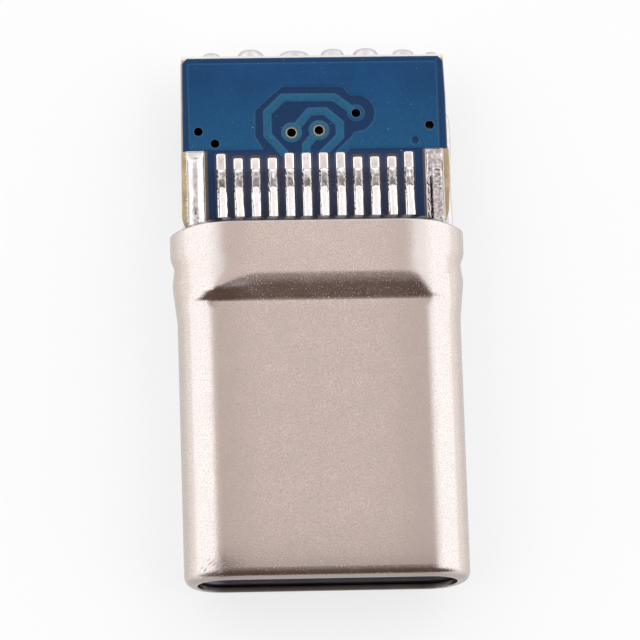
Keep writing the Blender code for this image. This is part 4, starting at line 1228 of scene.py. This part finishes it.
def add_lacquer(name, side, board, material):
    """Lacquer film on one face, raised over the copper by 3t2 - 2t3, thinned at its edges and openings
    and dented where it closes a hole."""
    outline = board_outline(LACQUER_EDGE, LACQUER_REAR_EDGE, LACQUER_CHAMFER)

    def region(x, y):
        return np.maximum(outline_distance(x, y, outline), -opening_distance(x, y, side))

    def copper(x, y):
        return copper_distance(x, y, board.trace) if side > 0 else plane_distance(x, y)

    def skin(x, y):
        lift = board.relief * (1 - rise(copper(x, y), -0.04 * MM, 0.03 * MM))
        thinned = LACQUER_THINNING * (1 - rise(-region(x, y), 0.0, 0.05 * MM))
        dent = 1 - rise(disc_distance(x, y, TENTED_HOLE, 0.0), 0.0, HOLE_RADIUS)
        dent = LACQUER_DENT * (side > 0) * dent
        return BOARD_FACE + LACQUER_TOP + lift - np.maximum(thinned, dent)

    points, faces = film(*board_area(board.step), board.step, region, skin, BOARD_FACE + LACQUER_GAP)
    x, y = points[:, :2].T
    values = {
        "copper": -copper(x, y),
        "ring": ring_tint(x, y) if side > 0 else np.zeros(len(x)),
        "trace": trace_tint(x, y, board.trace) if side > 0 else np.zeros(len(x)),
        "window": -region(x, y),
        "border": -outline_distance(x, y, outline),
    }
    points, faces = on_face(points, faces, side)
    add_piece(name + "_finish", points, faces, material, "solder_mask", [name], sharp=60.0, values=values)


def add_laminate(board):
    """Routed laminate: a flat sheet over the board's outline, less its drilled holes."""
    outline = board_outline(0.0, 0.0, LAMINATE_CHAMFER)

    def region(x, y):
        holes = nearest(disc_distance(x, y, hole, HOLE_RADIUS) for hole in OPEN_HOLES)
        return np.maximum(outline_distance(x, y, outline), -holes)

    points, faces = film(*board_area(LAMINATE_STEP), LAMINATE_STEP, region,
                         lambda x, y: np.full(x.shape, BOARD_FACE), -BOARD_FACE)
    add_piece("circuit_board_finish", points, faces, glass_epoxy(board), "laminate", ["circuit_board"])


def pad_tin(low_x, high_x, front, end, dull):
    """Tin on one pad: a low crown that falls off as one less the sixth power of the distance from the
    middle, its rear corners quarter circles, stained evenly with a few random marks."""
    end += TIN_LAP
    y = np.concatenate([spread(front - TIN_LAP, end - TIN_ROUND, 0.06 * MM)[:-1],
                        end - TIN_ROUND + TIN_ROUND * np.sin(np.linspace(0, math.pi / 2, 8))])
    u = crowded(15)
    run_in = np.maximum(y - (end - TIN_ROUND), 0.0)
    half = (high_x - low_x) / 2 + TIN_LAP - TIN_ROUND + np.sqrt(TIN_ROUND ** 2 - run_in ** 2)
    x = (low_x + high_x) / 2 + half[:, None] * u
    rows = np.broadcast_to(y[:, None], x.shape)
    crown = (1 - np.abs(u) ** 6)[None, :] * (1 - rise(y, end - 0.08 * MM, end))[:, None]
    wave = TIN_WAVE * lumps(x, rows, 0.12 * MM, 11)
    top = PAD_TOP + TIN_LEVEL + TIN_CROWN * crown + wave * crown
    marks = 0.5 * np.clip(lumps(x, rows, 0.05 * MM, 12) - 0.5, 0.0, 1.0)
    return *mound(x, rows, top, BOARD_FACE + 0.001 * MM), (dull + marks) * crown + 0.1 * dull


def add_tinning(name, side, material):
    """Tin on the pads of one face."""
    pads = [(middle - PAD_WIDTH / 2, middle + PAD_WIDTH / 2, BOARD_FRONT + 0.02 * MM, end,
             DULL_STAIN if number in DULL_PADS else CLEAN_STAIN)
            for number, middle, end in contact_pads(side)]
    for mirror in (1, -1):
        low_x, high_x = sorted((mirror * SIDE_PAD_INNER, mirror * SIDE_PAD_OUTER))
        pads.append((low_x, high_x, BOARD_FRONT + BOARD_CORNER / 2, side_pad_end(mirror, side), SIDE_STAIN))
    parts = []
    for pad in pads:
        points, faces, stain_and_shade = pad_tin(*pad)
        parts.append((*on_face(points, faces, side), stain_and_shade))
    add_stained_and_shaded(name, parts, material, "contact_metal")


def add_barrels(material):
    """Plated barrel in each hole: a thin ring turned about the hole, flanged where the ring is bare."""
    parts = []
    turn = full_turn(32)
    outer = HOLE_RADIUS - 0.001 * MM
    inner = HOLE_RADIUS - 0.005 * MM
    for hole in OPEN_HOLES:
        ringed = hole in RINGED_HOLES
        flange = BARE_RING_RADIUS + FLANGE_LAP if ringed else outer
        top = BOARD_FACE + (FLANGE_RISE if ringed else -BARREL_SUNK)
        collar = BOARD_FACE + 0.001 * MM if ringed else top - 0.02 * MM
        profile = np.array([
            (inner, -BOARD_FACE), (outer, -BOARD_FACE), (outer, collar), (flange, collar + 0.001 * MM),
            (flange, top - BARREL_ROUND), (flange - 0.002 * MM, top), (inner + 0.002 * MM, top),
            (inner, top - BARREL_ROUND),
        ])
        x = hole[0] + profile[:, :1] * np.cos(turn)
        y = hole[1] + profile[:, :1] * np.sin(turn)
        rings = np.stack([x, y, np.broadcast_to(profile[:, 1:], x.shape)], axis=-1)
        parts.append((rings.reshape(-1, 3), [grid_quads(*x.shape, wrap_rows=True, wrap_columns=True)]))
    points, faces = join(parts)
    add_piece("hole_barrels", points, faces, material, "contact_metal")


class PLUG_OT_board(bpy.types.Operator):
    """Wiring board: laminate, lacquer on both faces, tinned pads and plated holes."""

    bl_idname = "plug.board"
    bl_label = "Board"

    def execute(self, context):
        """Dress the laminate and lay the films, the tin and the barrels on it."""
        board = context.scene.plug_board
        add_laminate(board)
        lacquer = cured_lacquer(board)
        add_lacquer("upper_mask", 1, board, lacquer)
        add_lacquer("lower_mask", -1, board, lacquer)
        tin = reflowed_tin("levelled_tin_pads", tuple(board.tin), roughness=0.26, lump=0.07 * MM,
                           depth=0.003 * MM, dull=0.10)
        add_tinning("upper_pad_tin", 1, tin)
        add_tinning("lower_pad_tin", -1, tin)
        add_barrels(plated_hole(board))
        return {"FINISHED"}


# Solder

# The thinnest solder on a pad, and how far its foot reaches into the pad
SOLDER_LEAST = 0.012 * MM
SOLDER_SUNK = 0.01 * MM

# Solder on a contact's foot: how far it reaches past the foot, its length and half width, the round of
# its rear end, its height in front, the slope up to its shelf and on it, and the depth of its two dents
FILLET_PAST = 0.01 * MM
FILLET_LENGTH = 0.70 * MM
FILLET_HALF_WIDTH = 0.126 * MM
FILLET_ROUND = 0.10 * MM
FILLET_FRONT = 0.10 * MM
FILLET_SLOPE = 0.26
SHELF_START = 0.36 * MM
SHELF_SLOPE = 0.05
FILLET_DENT = 0.03 * MM

# The joints at the sides: how far they stand in from the pad's edges and back from the rim
SIDE_INSET = 0.005 * MM
SIDE_START = 0.10 * MM

# The loaf on the left: its height and how much its sides drop, then across the pad, from -1 to 1, where
# its crown lies, the crown's half breadth and the breadth of a side
LOAF_HEIGHT = 0.335 * MM
LOAF_DROP = 0.066 * MM
LOAF_MIDDLE = 0.12
LOAF_HALF_CROWN = 0.22
LOAF_SIDE = 0.6
# The run left past the leg, a dimple and a blister (across the pad, and back from the rim)
RUN_HEIGHT = 0.06 * MM
RUN_EASE = 0.06 * MM
DIMPLE = (0.19, 0.46 * MM)
DIMPLE_DEPTH = 0.05 * MM
BLISTER = (0.36, 1.04 * MM)
BLISTER_HEIGHT = 0.012 * MM

# The leg on the right: its sides from the axis, its end, round and height, and where its coating ends
LEG_INNER = 3.385 * MM
LEG_OUTER = 3.692 * MM
LEG_END = RIM + FOOT_END + 0.12 * MM
LEG_ROUND = 0.08 * MM
LEG_HEIGHT = 0.274 * MM
COAT_END = RIM + 1.72 * MM
COAT_ROUND = 0.14 * MM
WELT_HEIGHT = 0.04 * MM
# The bank on its inner side, the groove between them, the fillet on its outer side and the run behind
BANK_HEIGHT = 0.12 * MM
BANK_FADE = RIM + 1.45 * MM
BANK_END = RIM + 1.7 * MM
GROOVE_PLACE = 3.368 * MM
GROOVE_REACH = 0.018 * MM
OUTER_FILLET = 0.24 * MM
DULL_RUN = 0.035 * MM

# Solder under the side pads: how deep it hangs and how far it laps up, then for each joint its side, how
# far it stands out past the pad and how much farther it does so in front
UNDER_DEPTH = 0.285 * MM
UNDER_LAP = 0.012 * MM
UNDER_JOINTS = {
    "left_under_joint": (-1, 0.0, 0.2 * MM),
    "right_under_joint": (1, 0.33 * MM, 0.0),
}

# The wire joints: how much wider than their nodes they have run, how full and how uneven they are
WIRE_SPREAD = 1.2
WIRE_FULLNESS = 0.45
WIRE_UNEVEN = 0.05

# Stray beads: how many lie at each tail, from the first number up to but not including the second, how
# many lie at the left side pad, and how high their middles stand, in radii
TAIL_BEADS = (6, 14)
SIDE_BEADS = 34
BEAD_REST = 0.6

FOOT_SEED = 100
WIRE_SEED = 200
BEAD_SEED = 300


def heap(x, y, height):
    """Points and faces of solder heaped on a pad, nowhere thinner than the film that wets it."""
    return mound(x, y, PAD_TOP + SOLDER_LEAST + np.maximum(height, 0.0), PAD_TOP - SOLDER_SUNK)


def contact_joint(name, side, seed):
    """Solder on one contact's foot: it climbs evenly back to a lumpy shelf, ends in a quarter ellipse and
    falls off at its sides as the root of one less a power of the distance from the middle."""
    end = RIM + FOOT_END + FILLET_PAST
    crest = end - FILLET_ROUND
    start = end - FILLET_LENGTH
    u, y = np.meshgrid(crowded(21), spread(start, end, 0.018 * MM))
    ragged = 0.016 * MM * waves(y, 0.06 * MM, seed)
    x = middle_of(name) + u * (FILLET_HALF_WIDTH + ragged)
    shelf = start + SHELF_START + 0.07 * MM * waves(x, 0.10 * MM, seed + 10)
    climb = FILLET_FRONT + FILLET_SLOPE * (np.minimum(y, shelf) - start)
    climb = climb + SHELF_SLOPE * np.maximum(y - shelf, 0.0)
    fall = np.sqrt(np.clip(1 - (np.maximum(y - crest, 0.0) / FILLET_ROUND) ** 2, 0.0, 1.0))
    notch = FILLET_DENT * bell(u, y, (0.0, start + 0.10 * MM), (0.25, 0.04 * MM))
    toe = FILLET_DENT * bell(u, y, (0.0, crest + 0.01 * MM), (0.25, 0.03 * MM))
    rough = rough_height(x, y, (0.006 * MM, 0.10 * MM, seed + 50), (0.002 * MM, 0.04 * MM, seed + 90))
    rough += 0.007 * MM * rise(y, shelf - 0.1 * MM, shelf) * lumps(x, y, 0.07 * MM, seed + 70)
    height = (climb + rough - notch - toe) * fall * (1 - np.abs(u) ** 14) ** 0.5
    stain_and_shade = (0.35 + 0.35 * lumps(x, y, 0.07 * MM, seed + 20)) * (1 - u ** 4)
    stain_and_shade = np.clip(stain_and_shade, 0.0, 0.8) * (1 - rise(y, crest - 0.08 * MM, crest + 0.03 * MM))
    return *on_face(*heap(x, y, height), side), stain_and_shade


def beads(places, radii):
    """Small balls of solder: each is its radius times a unit sphere, a little flattened, on its place."""
    tall = np.linspace(0, math.pi, 8)[1:-1, None]
    turn = full_turn(10)
    sphere = np.stack([np.sin(tall) * np.cos(turn), np.sin(tall) * np.sin(turn),
                       0.8 * np.cos(tall) * np.ones(turn.shape)], axis=-1)
    return join([tube(place + radius * sphere) for place, radius in zip(places, radii)])


def side_plan(mirror, detail):
    """Grid over an upper side pad: u across from -1 at its inner edge to 1, and y back from the rim."""
    inner = SIDE_PAD_INNER + SIDE_INSET
    outer = SIDE_PAD_OUTER - SIDE_INSET
    u, y = np.meshgrid(crowded(detail), spread(RIM + SIDE_START, SIDE_PAD_END, 0.0125 * MM))
    return u, y, mirror * (inner + (outer - inner) * (u + 1) / 2)


def left_leg_joint(detail):
    """Long smooth loaf over the left leg, with a stained dimple and a blister: a flat crown, sides that
    fall away as a power of the distance from it, and steep edges. Past the leg it thins, by 3t2 - 2t3,
    to a mottled run."""
    u, y, x = side_plan(-1, detail)
    end = SIDE_PAD_END
    back = y - RIM
    away = np.abs(u - LOAF_MIDDLE + 0.04 * waves(y, 0.4 * MM, 6)) - LOAF_HALF_CROWN
    away = np.maximum(away, 0.0) / LOAF_SIDE
    loaf = LOAF_HEIGHT - LOAF_DROP * away ** 1.5
    taper = 1 - rise(y + 0.05 * MM * u, RIM + FOOT_END - 0.05 * MM, end - 0.05 * MM)
    thin = RUN_HEIGHT * (1 - rise(y, end - RUN_EASE, end))
    soft = rough_height(x, y, (0.008 * MM, 0.26 * MM, 3), (0.0022 * MM, 0.09 * MM, 4))
    soft += 0.012 * MM * (1 - taper) * lumps(x, y, 0.12 * MM, 5)
    dimple = DIMPLE_DEPTH * bell(u, back, DIMPLE, (0.22, 0.08 * MM))
    blister = BLISTER_HEIGHT * bell(u, back, BLISTER, (0.10, 0.12 * MM), 4)
    height = (thin + (loaf - thin) * taper + soft - dimple + blister) * (1 - np.abs(u) ** 16) ** 0.5
    stain_and_shade = 0.7 * bell(u, back, DIMPLE, (0.25, 0.07 * MM))
    front = rise(y, RIM + 0.45 * MM, RIM + 0.25 * MM)
    stain_and_shade = stain_and_shade + front * np.clip(0.8 * lumps(x, y, 0.05 * MM, 7), 0.0, 1.0)
    # Random stain, and the flat crown painted a little darker as shade for the dimmer light overhead that it
    # mirrors
    stain_and_shade = stain_and_shade + 0.25 * np.clip(lumps(x, y, 0.11 * MM, 8) - 0.35, 0.0, 1.0) + 0.20 * (away == 0.0) * taper
    return *heap(x, y, height), stain_and_shade


def right_leg_joint(detail):
    """Thin solder about the right leg, which stands up coated: a ragged bank and a groove on its inner
    side, a bright fillet on its outer side and a dull run behind it, each eased by 3t2 - 2t3."""
    u, y, x = side_plan(1, detail)
    end = SIDE_PAD_END
    leg = box_distance(x, y, (LEG_INNER, 0.0), (LEG_OUTER, LEG_END), LEG_ROUND)
    on_leg = 1 - rise(leg, -0.02 * MM, 0.012 * MM)
    torn = x + 0.014 * MM * waves(y, 0.07 * MM, 27)
    bank = BANK_HEIGHT + 0.03 * MM * waves(y, 0.10 * MM, 23)
    bank = bank * rise(torn, 3.265 * MM, 3.30 * MM) * (1 - rise(torn, 3.335 * MM, 3.36 * MM))
    bank = bank * (1 - rise(y, BANK_FADE, BANK_END))
    fillet = OUTER_FILLET * (1 - rise(x, 3.69 * MM, 3.757 * MM)) * rise(x, 3.60 * MM, 3.66 * MM)
    fillet *= 1 - rise(y, LEG_END - 0.05 * MM, LEG_END + 0.12 * MM)
    run = DULL_RUN + 0.05 * MM * rise(y, RIM + 1.6 * MM, LEG_END)
    run = run * (1 - rise(y, end - RUN_EASE, end))
    rough = rough_height(x, y, (0.004 * MM, 0.08 * MM, 21), (0.0035 * MM, 0.035 * MM, 22))
    height = np.maximum(np.maximum(bank, fillet), run) + rough
    height = height * (1 - on_leg) + (LEG_HEIGHT + rough) * on_leg
    height = np.maximum(height, 0.0) * (1 - np.abs(u) ** 14)
    # The leg's coating ends round, short of the leg, with a raised welt cleared of stain as a painted
    # highlight
    coat = box_distance(x, y, (LEG_INNER, 0.0), (LEG_OUTER, COAT_END), COAT_ROUND)
    coated = 1 - rise(coat, -0.03 * MM, 0.0)
    welt = np.exp(-((coat + 0.005 * MM) / (0.025 * MM)) ** 2) * rise(y, RIM + 1.35 * MM, RIM + 1.6 * MM)
    groove = np.exp(-((torn - GROOVE_PLACE) / GROOVE_REACH) ** 4)
    groove = groove * (1 - rise(y, RIM + 1.5 * MM, RIM + 1.6 * MM))
    stain_and_shade = coated * (0.34 + 0.35 * lumps(x, y, 0.05 * MM, 25) + 0.35 * lumps(x, y, 0.028 * MM, 28))
    bare = 0.45 * (1 - coated) * rise(y, BANK_FADE, BANK_END)
    stain_and_shade = stain_and_shade + bare * np.clip(0.5 + lumps(x, y, 0.07 * MM, 26), 0.0, 1.0)
    # The groove is painted dark as shade
    stain_and_shade = np.clip(stain_and_shade + 0.95 * groove - 0.8 * welt, 0.0, 1.0)
    return *heap(x, y, height + WELT_HEIGHT * welt), stain_and_shade


def under_joint(mirror, overhang, flare, detail):
    """Long low solder on an underside pad: flattened oval sections, each half axis times a power of the
    cosine or sine, wavy along the outer side and drawn in at both ends."""
    low = -PAD_TOP - UNDER_DEPTH
    high = -PAD_TOP + UNDER_LAP
    y = spread(RIM + SIDE_START, side_pad_end(mirror, -1), 0.05 * MM)[:, None]
    turn = full_turn(2 * detail)
    wave = 0.03 * MM * waves(y, 0.45 * MM, 33)
    outer = SIDE_PAD_OUTER + overhang - 0.035 * MM + wave
    outer = outer + flare * (1 - rise(y, RIM + 0.15 * MM, RIM + 0.75 * MM))
    inner = SIDE_PAD_INNER + 0.01 * MM
    close = np.sqrt(np.clip(1 - np.abs(2 * (y - y[0]) / (y[-1] - y[0]) - 1) ** 12, 0.003, 1.0))
    flat = np.sign(np.cos(turn)) * np.abs(np.cos(turn)) ** 0.7
    tall = np.sign(np.sin(turn)) * np.abs(np.sin(turn)) ** 0.8
    x = (inner + outer) / 2 + (outer - inner) / 2 * flat * close
    y = np.broadcast_to(y, x.shape)
    z = (low + high) / 2 + (high - low) / 2 * tall * close
    z = z + 0.02 * MM * lumps(x, y, 0.28 * MM, 31) * np.minimum(np.sin(turn), 0.0)
    return tube(np.stack([mirror * x, y, z], axis=-1))


def wire_joint(name, seed):
    """Rounded solder at the rear edge: ellipses across Y, a little wider than the node's box and made
    uneven, which grow from end to end as a power of the sine while Y runs as the cosine."""
    low, high = (np.array(corner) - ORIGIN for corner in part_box(name))
    centre = (low + high) / 2
    half = (high - low) / 2
    tall = np.linspace(0, math.pi, 34)[1:-1, None]
    turn = full_turn(48)
    uneven = lumps(np.cos(turn) * np.sin(tall) * 4 + 9, np.cos(tall) * 4 + 9, 1.5, seed)
    uneven = 1 - WIRE_UNEVEN + WIRE_UNEVEN * uneven
    breadth = np.sin(tall) ** WIRE_FULLNESS
    x = centre[0] + WIRE_SPREAD * half[0] * breadth * np.cos(turn) * uneven
    y = centre[1] + half[1] * np.cos(tall) * np.ones(turn.shape)
    z = centre[2] + half[2] * breadth * np.sin(turn) * uneven
    return tube(np.stack([x, y, z], axis=-1))


def bead_row(random, count, largest, reach, edge, scatter, ground):
    """Places and radii of beads strewn at random beside an edge that runs back from the rim, by sizes
    in millimetres."""
    radius = random.uniform(0.010, largest, count) * MM
    y = RIM + random.uniform(*reach, count) * MM
    x = edge - random.uniform(*scatter, count) * MM
    return np.column_stack([x, y, np.full(count, ground) + BEAD_REST * radius]), radius


def stray_beads(seed):
    """Beads of solder spattered along the left sides of the tails and of the left side pad."""
    random = np.random.default_rng(seed)
    rows = [bead_row(random, int(random.integers(*TAIL_BEADS)), 0.026, (0.25, 1.85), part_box(name)[0].x,
                     (0.0, 0.012), PAD_TOP) for name in UPPER_CONTACTS]
    rows.append(bead_row(random, SIDE_BEADS, 0.030, (0.15, 2.3), -SIDE_PAD_OUTER, (-0.005, 0.03),
                         BOARD_FACE))
    places, radii = zip(*rows)
    return beads(np.vstack(places), np.concatenate(radii))


class PLUG_OT_solder(bpy.types.Operator):
    """Solder on the contacts' feet, the legs, the underside pads and the wire pads."""

    bl_idname = "plug.solder"
    bl_label = "Solder"

    def execute(self, context):
        """Heap the solder over each pad, then strew the beads."""
        settings = context.scene.plug_solder
        alloy = tuple(settings.alloy)
        least = settings.roughness
        # Each solder's tone and roughness, the size and depth of its lumps, and how far flux dulls it
        bright, foot, rough, soft, dull = (reflowed_tin(*finish) for finish in (
            ("bright_solder", shade(alloy, 0.88), least + 0.06, 0.12 * MM, 0.012 * MM, 0.15),
            ("foot_solder", alloy, least + 0.08, 0.06 * MM, 0.005 * MM, 0.35),
            ("drossy_solder", shade(alloy, 0.9), least + 0.05, 0.05 * MM, 0.008 * MM, 0.35),
            ("soft_solder", shade(alloy, 0.74), 0.40, 0.10 * MM, 0.010 * MM, 0.25),
            ("dull_solder", tuple(settings.dull), 0.42, 0.06 * MM, 0.006 * MM, 0.2),
        ))
        for title, names, side in (("upper", UPPER_CONTACTS, 1), ("lower", LOWER_CONTACTS, -1)):
            parts = [contact_joint(name, side, FOOT_SEED + number) for number, name in enumerate(names)]
            add_stained_and_shaded(title + "_foot_solder", parts, foot, "solder")
        for name, joint, material in (("left_leg_joint", left_leg_joint, bright),
                                      ("right_leg_joint", right_leg_joint, rough)):
            add_stained_and_shaded(name + "_finish", [joint(settings.detail)], material, "solder", [name])
        for name, form in UNDER_JOINTS.items():
            add_piece(name + "_finish", *under_joint(*form, settings.detail), soft, "solder", [name])
        for number, name in enumerate(WIRE_JOINTS):
            add_piece(name + "_finish", *wire_joint(name, WIRE_SEED + number), dull, "solder", [name])
        add_piece("solder_beads", *stray_beads(BEAD_SEED), foot, "solder")
        return {"FINISHED"}


# Stage

FLOOR_HALF = 400 * MM
TARGET = Vector((0.023 * MM, 7.857 * MM, 0.0))
# The floor: its brightness for the camera, and in reflections close beside the plug, with the distances
# from the axis between which that grows to white
PAPER_SEEN = 0.70
PAPER_SHADED = 0.62
SHADED_TO = 4.6 * MM
WHITE_FROM = 11 * MM
# The room's light: dark in front, dim overhead, pale behind, and the softboxes over the sides
ROOM_DARK = (0.165, 0.112, 0.098)
ROOM_MIDDLE = (0.40, 0.34, 0.34)
ROOM_PALE = (1.06, 0.98, 0.96)
SOFTBOX = (1.68, 1.74, 1.82)
# Where each sets in and is full: from -1 in front of the plug to 1 behind it, and for the sides of the
# softboxes as the lean from overhead
OVERHEAD = (-0.65, -0.15)
BEHIND = (-0.02, 0.24)
BOX_FRONTS = (-0.75, -0.33)
BOX_SIDES = (math.radians(16), math.radians(30))
# How far the strip between the softboxes leans to the left, and the least height used for the lean
STRIP_SHIFT = 0.02
LEAST_HEIGHT = 0.02


def white_paper(tone):
    """Matt white paper that reads as white to the camera and keeps the shadow. In reflections it is
    white away from the plug and greyer close beside it, where the plug shades it."""
    material, tree, shader, add = new_material("white_paper")
    place = add(COORDINATES, output="Object")
    fibre = add(NOISE, {"Vector": place, "Scale": 1 / (1.5 * MM)})
    across = add(MATH, (add(SPLIT, (place,), "X"),), operation="ABSOLUTE")
    beside = add(RANGE, (across, SHADED_TO, WHITE_FROM, PAPER_SHADED, 1.0))
    rays = "ShaderNodeLightPath"
    mirrored = add(MATH, (add(rays, output="Is Glossy Ray"), add(rays, output="Is Transmission Ray")),
                   operation="MAXIMUM")
    seen = add(MATH, (add(rays, output="Is Camera Ray"), PAPER_SEEN), operation="MULTIPLY")
    mirrored = add(MATH, (mirrored, beside), operation="MULTIPLY")
    fill(tree, shader, {"Roughness": 0.9, "Specular IOR Level": 0.0,
                        "Base Color": layered(tree, tone, (fibre, shade(tone, 0.98))),
                        "Emission Color": (1.0, 1.0, 1.0),
                        "Emission Strength": add(MATH, (seen, mirrored), operation="MAXIMUM")})
    return material


def studio_world():
    """Two long softboxes over the plug's sides, from the horizon up to a strip of room left between
    them, which is dark in front, where the camera stands, dim overhead and pale behind."""
    world = bpy.data.worlds.new("studio")
    world.use_nodes = True
    tree = world.node_tree
    add = partial(add_node, tree)
    way = add(COORDINATES, output="Generated")
    sideways = add(MATH, (add(SPLIT, (way,), "X"), STRIP_SHIFT), operation="ADD")
    forward = add(SPLIT, (way,), "Y")
    height = add(MATH, (add(SPLIT, (way,), "Z"), LEAST_HEIGHT), operation="MAXIMUM")
    lean = add(MATH, (add(MATH, (sideways, height), operation="ARCTAN2"),), operation="ABSOLUTE")
    boxes = add(MATH, (add(RANGE, (lean, *BOX_SIDES, 0.0, 1.0), **SMOOTH),
                       add(RANGE, (forward, *BOX_FRONTS, 0.0, 1.0), **SMOOTH)), operation="MULTIPLY")
    overhead = add(RANGE, (forward, *OVERHEAD, 0.0, 1.0))
    behind = add(RANGE, (forward, *BEHIND, 0.0, 1.0), **SMOOTH)
    fill(tree, tree.nodes["Background"],
         {"Color": layered(tree, ROOM_DARK, (overhead, ROOM_MIDDLE), (behind, ROOM_PALE), (boxes, SOFTBOX))})
    return world


def add_floor(scene, tone):
    """Square of paper under the plug, at the height of zero."""
    mesh = bpy.data.meshes.new("floor")
    half = FLOOR_HALF
    mesh.from_pydata([(-half, -half, 0), (half, -half, 0), (half, half, 0), (-half, half, 0)], [],
                     [(0, 1, 2, 3)])
    mesh.materials.append(white_paper(tone))
    floor = bpy.data.objects.new("floor", mesh)
    scene.collection.objects.link(floor)


def add_camera(scene, stage):
    """Camera on a sphere about its target, at an azimuth and an elevation, turned by its roll."""
    data = bpy.data.cameras.new("camera")
    camera = bpy.data.objects.new("camera", data)
    scene.collection.objects.link(camera)
    back = Vector((math.sin(stage.azimuth) * math.cos(stage.elevation),
                   -math.cos(stage.azimuth) * math.cos(stage.elevation), math.sin(stage.elevation)))
    right = Vector((math.cos(stage.azimuth), math.sin(stage.azimuth), 0.0))
    up = back.cross(right)
    turned_right = math.cos(stage.roll) * right + math.sin(stage.roll) * up
    turned_up = math.cos(stage.roll) * up - math.sin(stage.roll) * right
    axes = Matrix((turned_right, turned_up, back)).transposed()
    place = Vector(ORIGIN) + TARGET + back * stage.distance
    camera.matrix_world = Matrix.Translation(place) @ axes.to_4x4()
    data.sensor_width = 36.0
    data.lens = stage.lens / MM
    data.clip_start = 1 * MM
    data.clip_end = 10.0
    scene.camera = camera


class PLUG_OT_stage(bpy.types.Operator):
    """Floor, soft light and camera."""

    bl_idname = "plug.stage"
    bl_label = "Stage"

    def execute(self, context):
        """Lay the floor, hang the softboxes and aim the camera."""
        scene = context.scene
        add_floor(scene, tuple(scene.plug_stage.floor))
        scene.world = studio_world()
        add_camera(scene, scene.plug_stage)
        scene.view_settings.view_transform = "Standard"
        return {"FINISHED"}


OPERATORS = (PLUG_OT_shell, PLUG_OT_mouldings, PLUG_OT_contacts, PLUG_OT_springs, PLUG_OT_board,
             PLUG_OT_solder, PLUG_OT_stage)
SETTINGS = {
    "plug_shell": ShellSettings,
    "plug_mouldings": MouldingSettings,
    "plug_contacts": ContactSettings,
    "plug_board": BoardSettings,
    "plug_solder": SolderSettings,
    "plug_stage": StageSettings,
}


class PLUG_PT_sidebar(bpy.types.Panel):
    """Sizes and colours of the plug, and the steps that make it."""

    bl_idname = "PLUG_PT_sidebar"
    bl_label = "Cable plug"
    bl_space_type = "VIEW_3D"
    bl_region_type = "UI"
    bl_category = "Plug"

    def draw(self, context):
        """List each group of settings, then each step."""
        layout = self.layout
        for title in SETTINGS:
            box = layout.box()
            group = getattr(context.scene, title)
            for name in group.__annotations__:
                box.prop(group, name)
        for step in OPERATORS:
            layout.operator(step.bl_idname)


def register():
    """Add the classes and their settings."""
    for group in SETTINGS.values():
        bpy.utils.register_class(group)
    for made in OPERATORS + (PLUG_PT_sidebar,):
        bpy.utils.register_class(made)
    for title, group in SETTINGS.items():
        setattr(bpy.types.Scene, title, PointerProperty(type=group))


def unregister():
    """Take the classes and their settings away."""
    for title in SETTINGS:
        delattr(bpy.types.Scene, title)
    for made in reversed(tuple(SETTINGS.values()) + OPERATORS + (PLUG_PT_sidebar,)):
        bpy.utils.unregister_class(made)


def main():
    """Run every step in order."""
    register()
    bpy.ops.plug.shell()
    bpy.ops.plug.mouldings()
    bpy.ops.plug.contacts()
    bpy.ops.plug.springs()
    bpy.ops.plug.board()
    bpy.ops.plug.solder()
    bpy.ops.plug.stage()


if __name__ == "__main__":
    main()
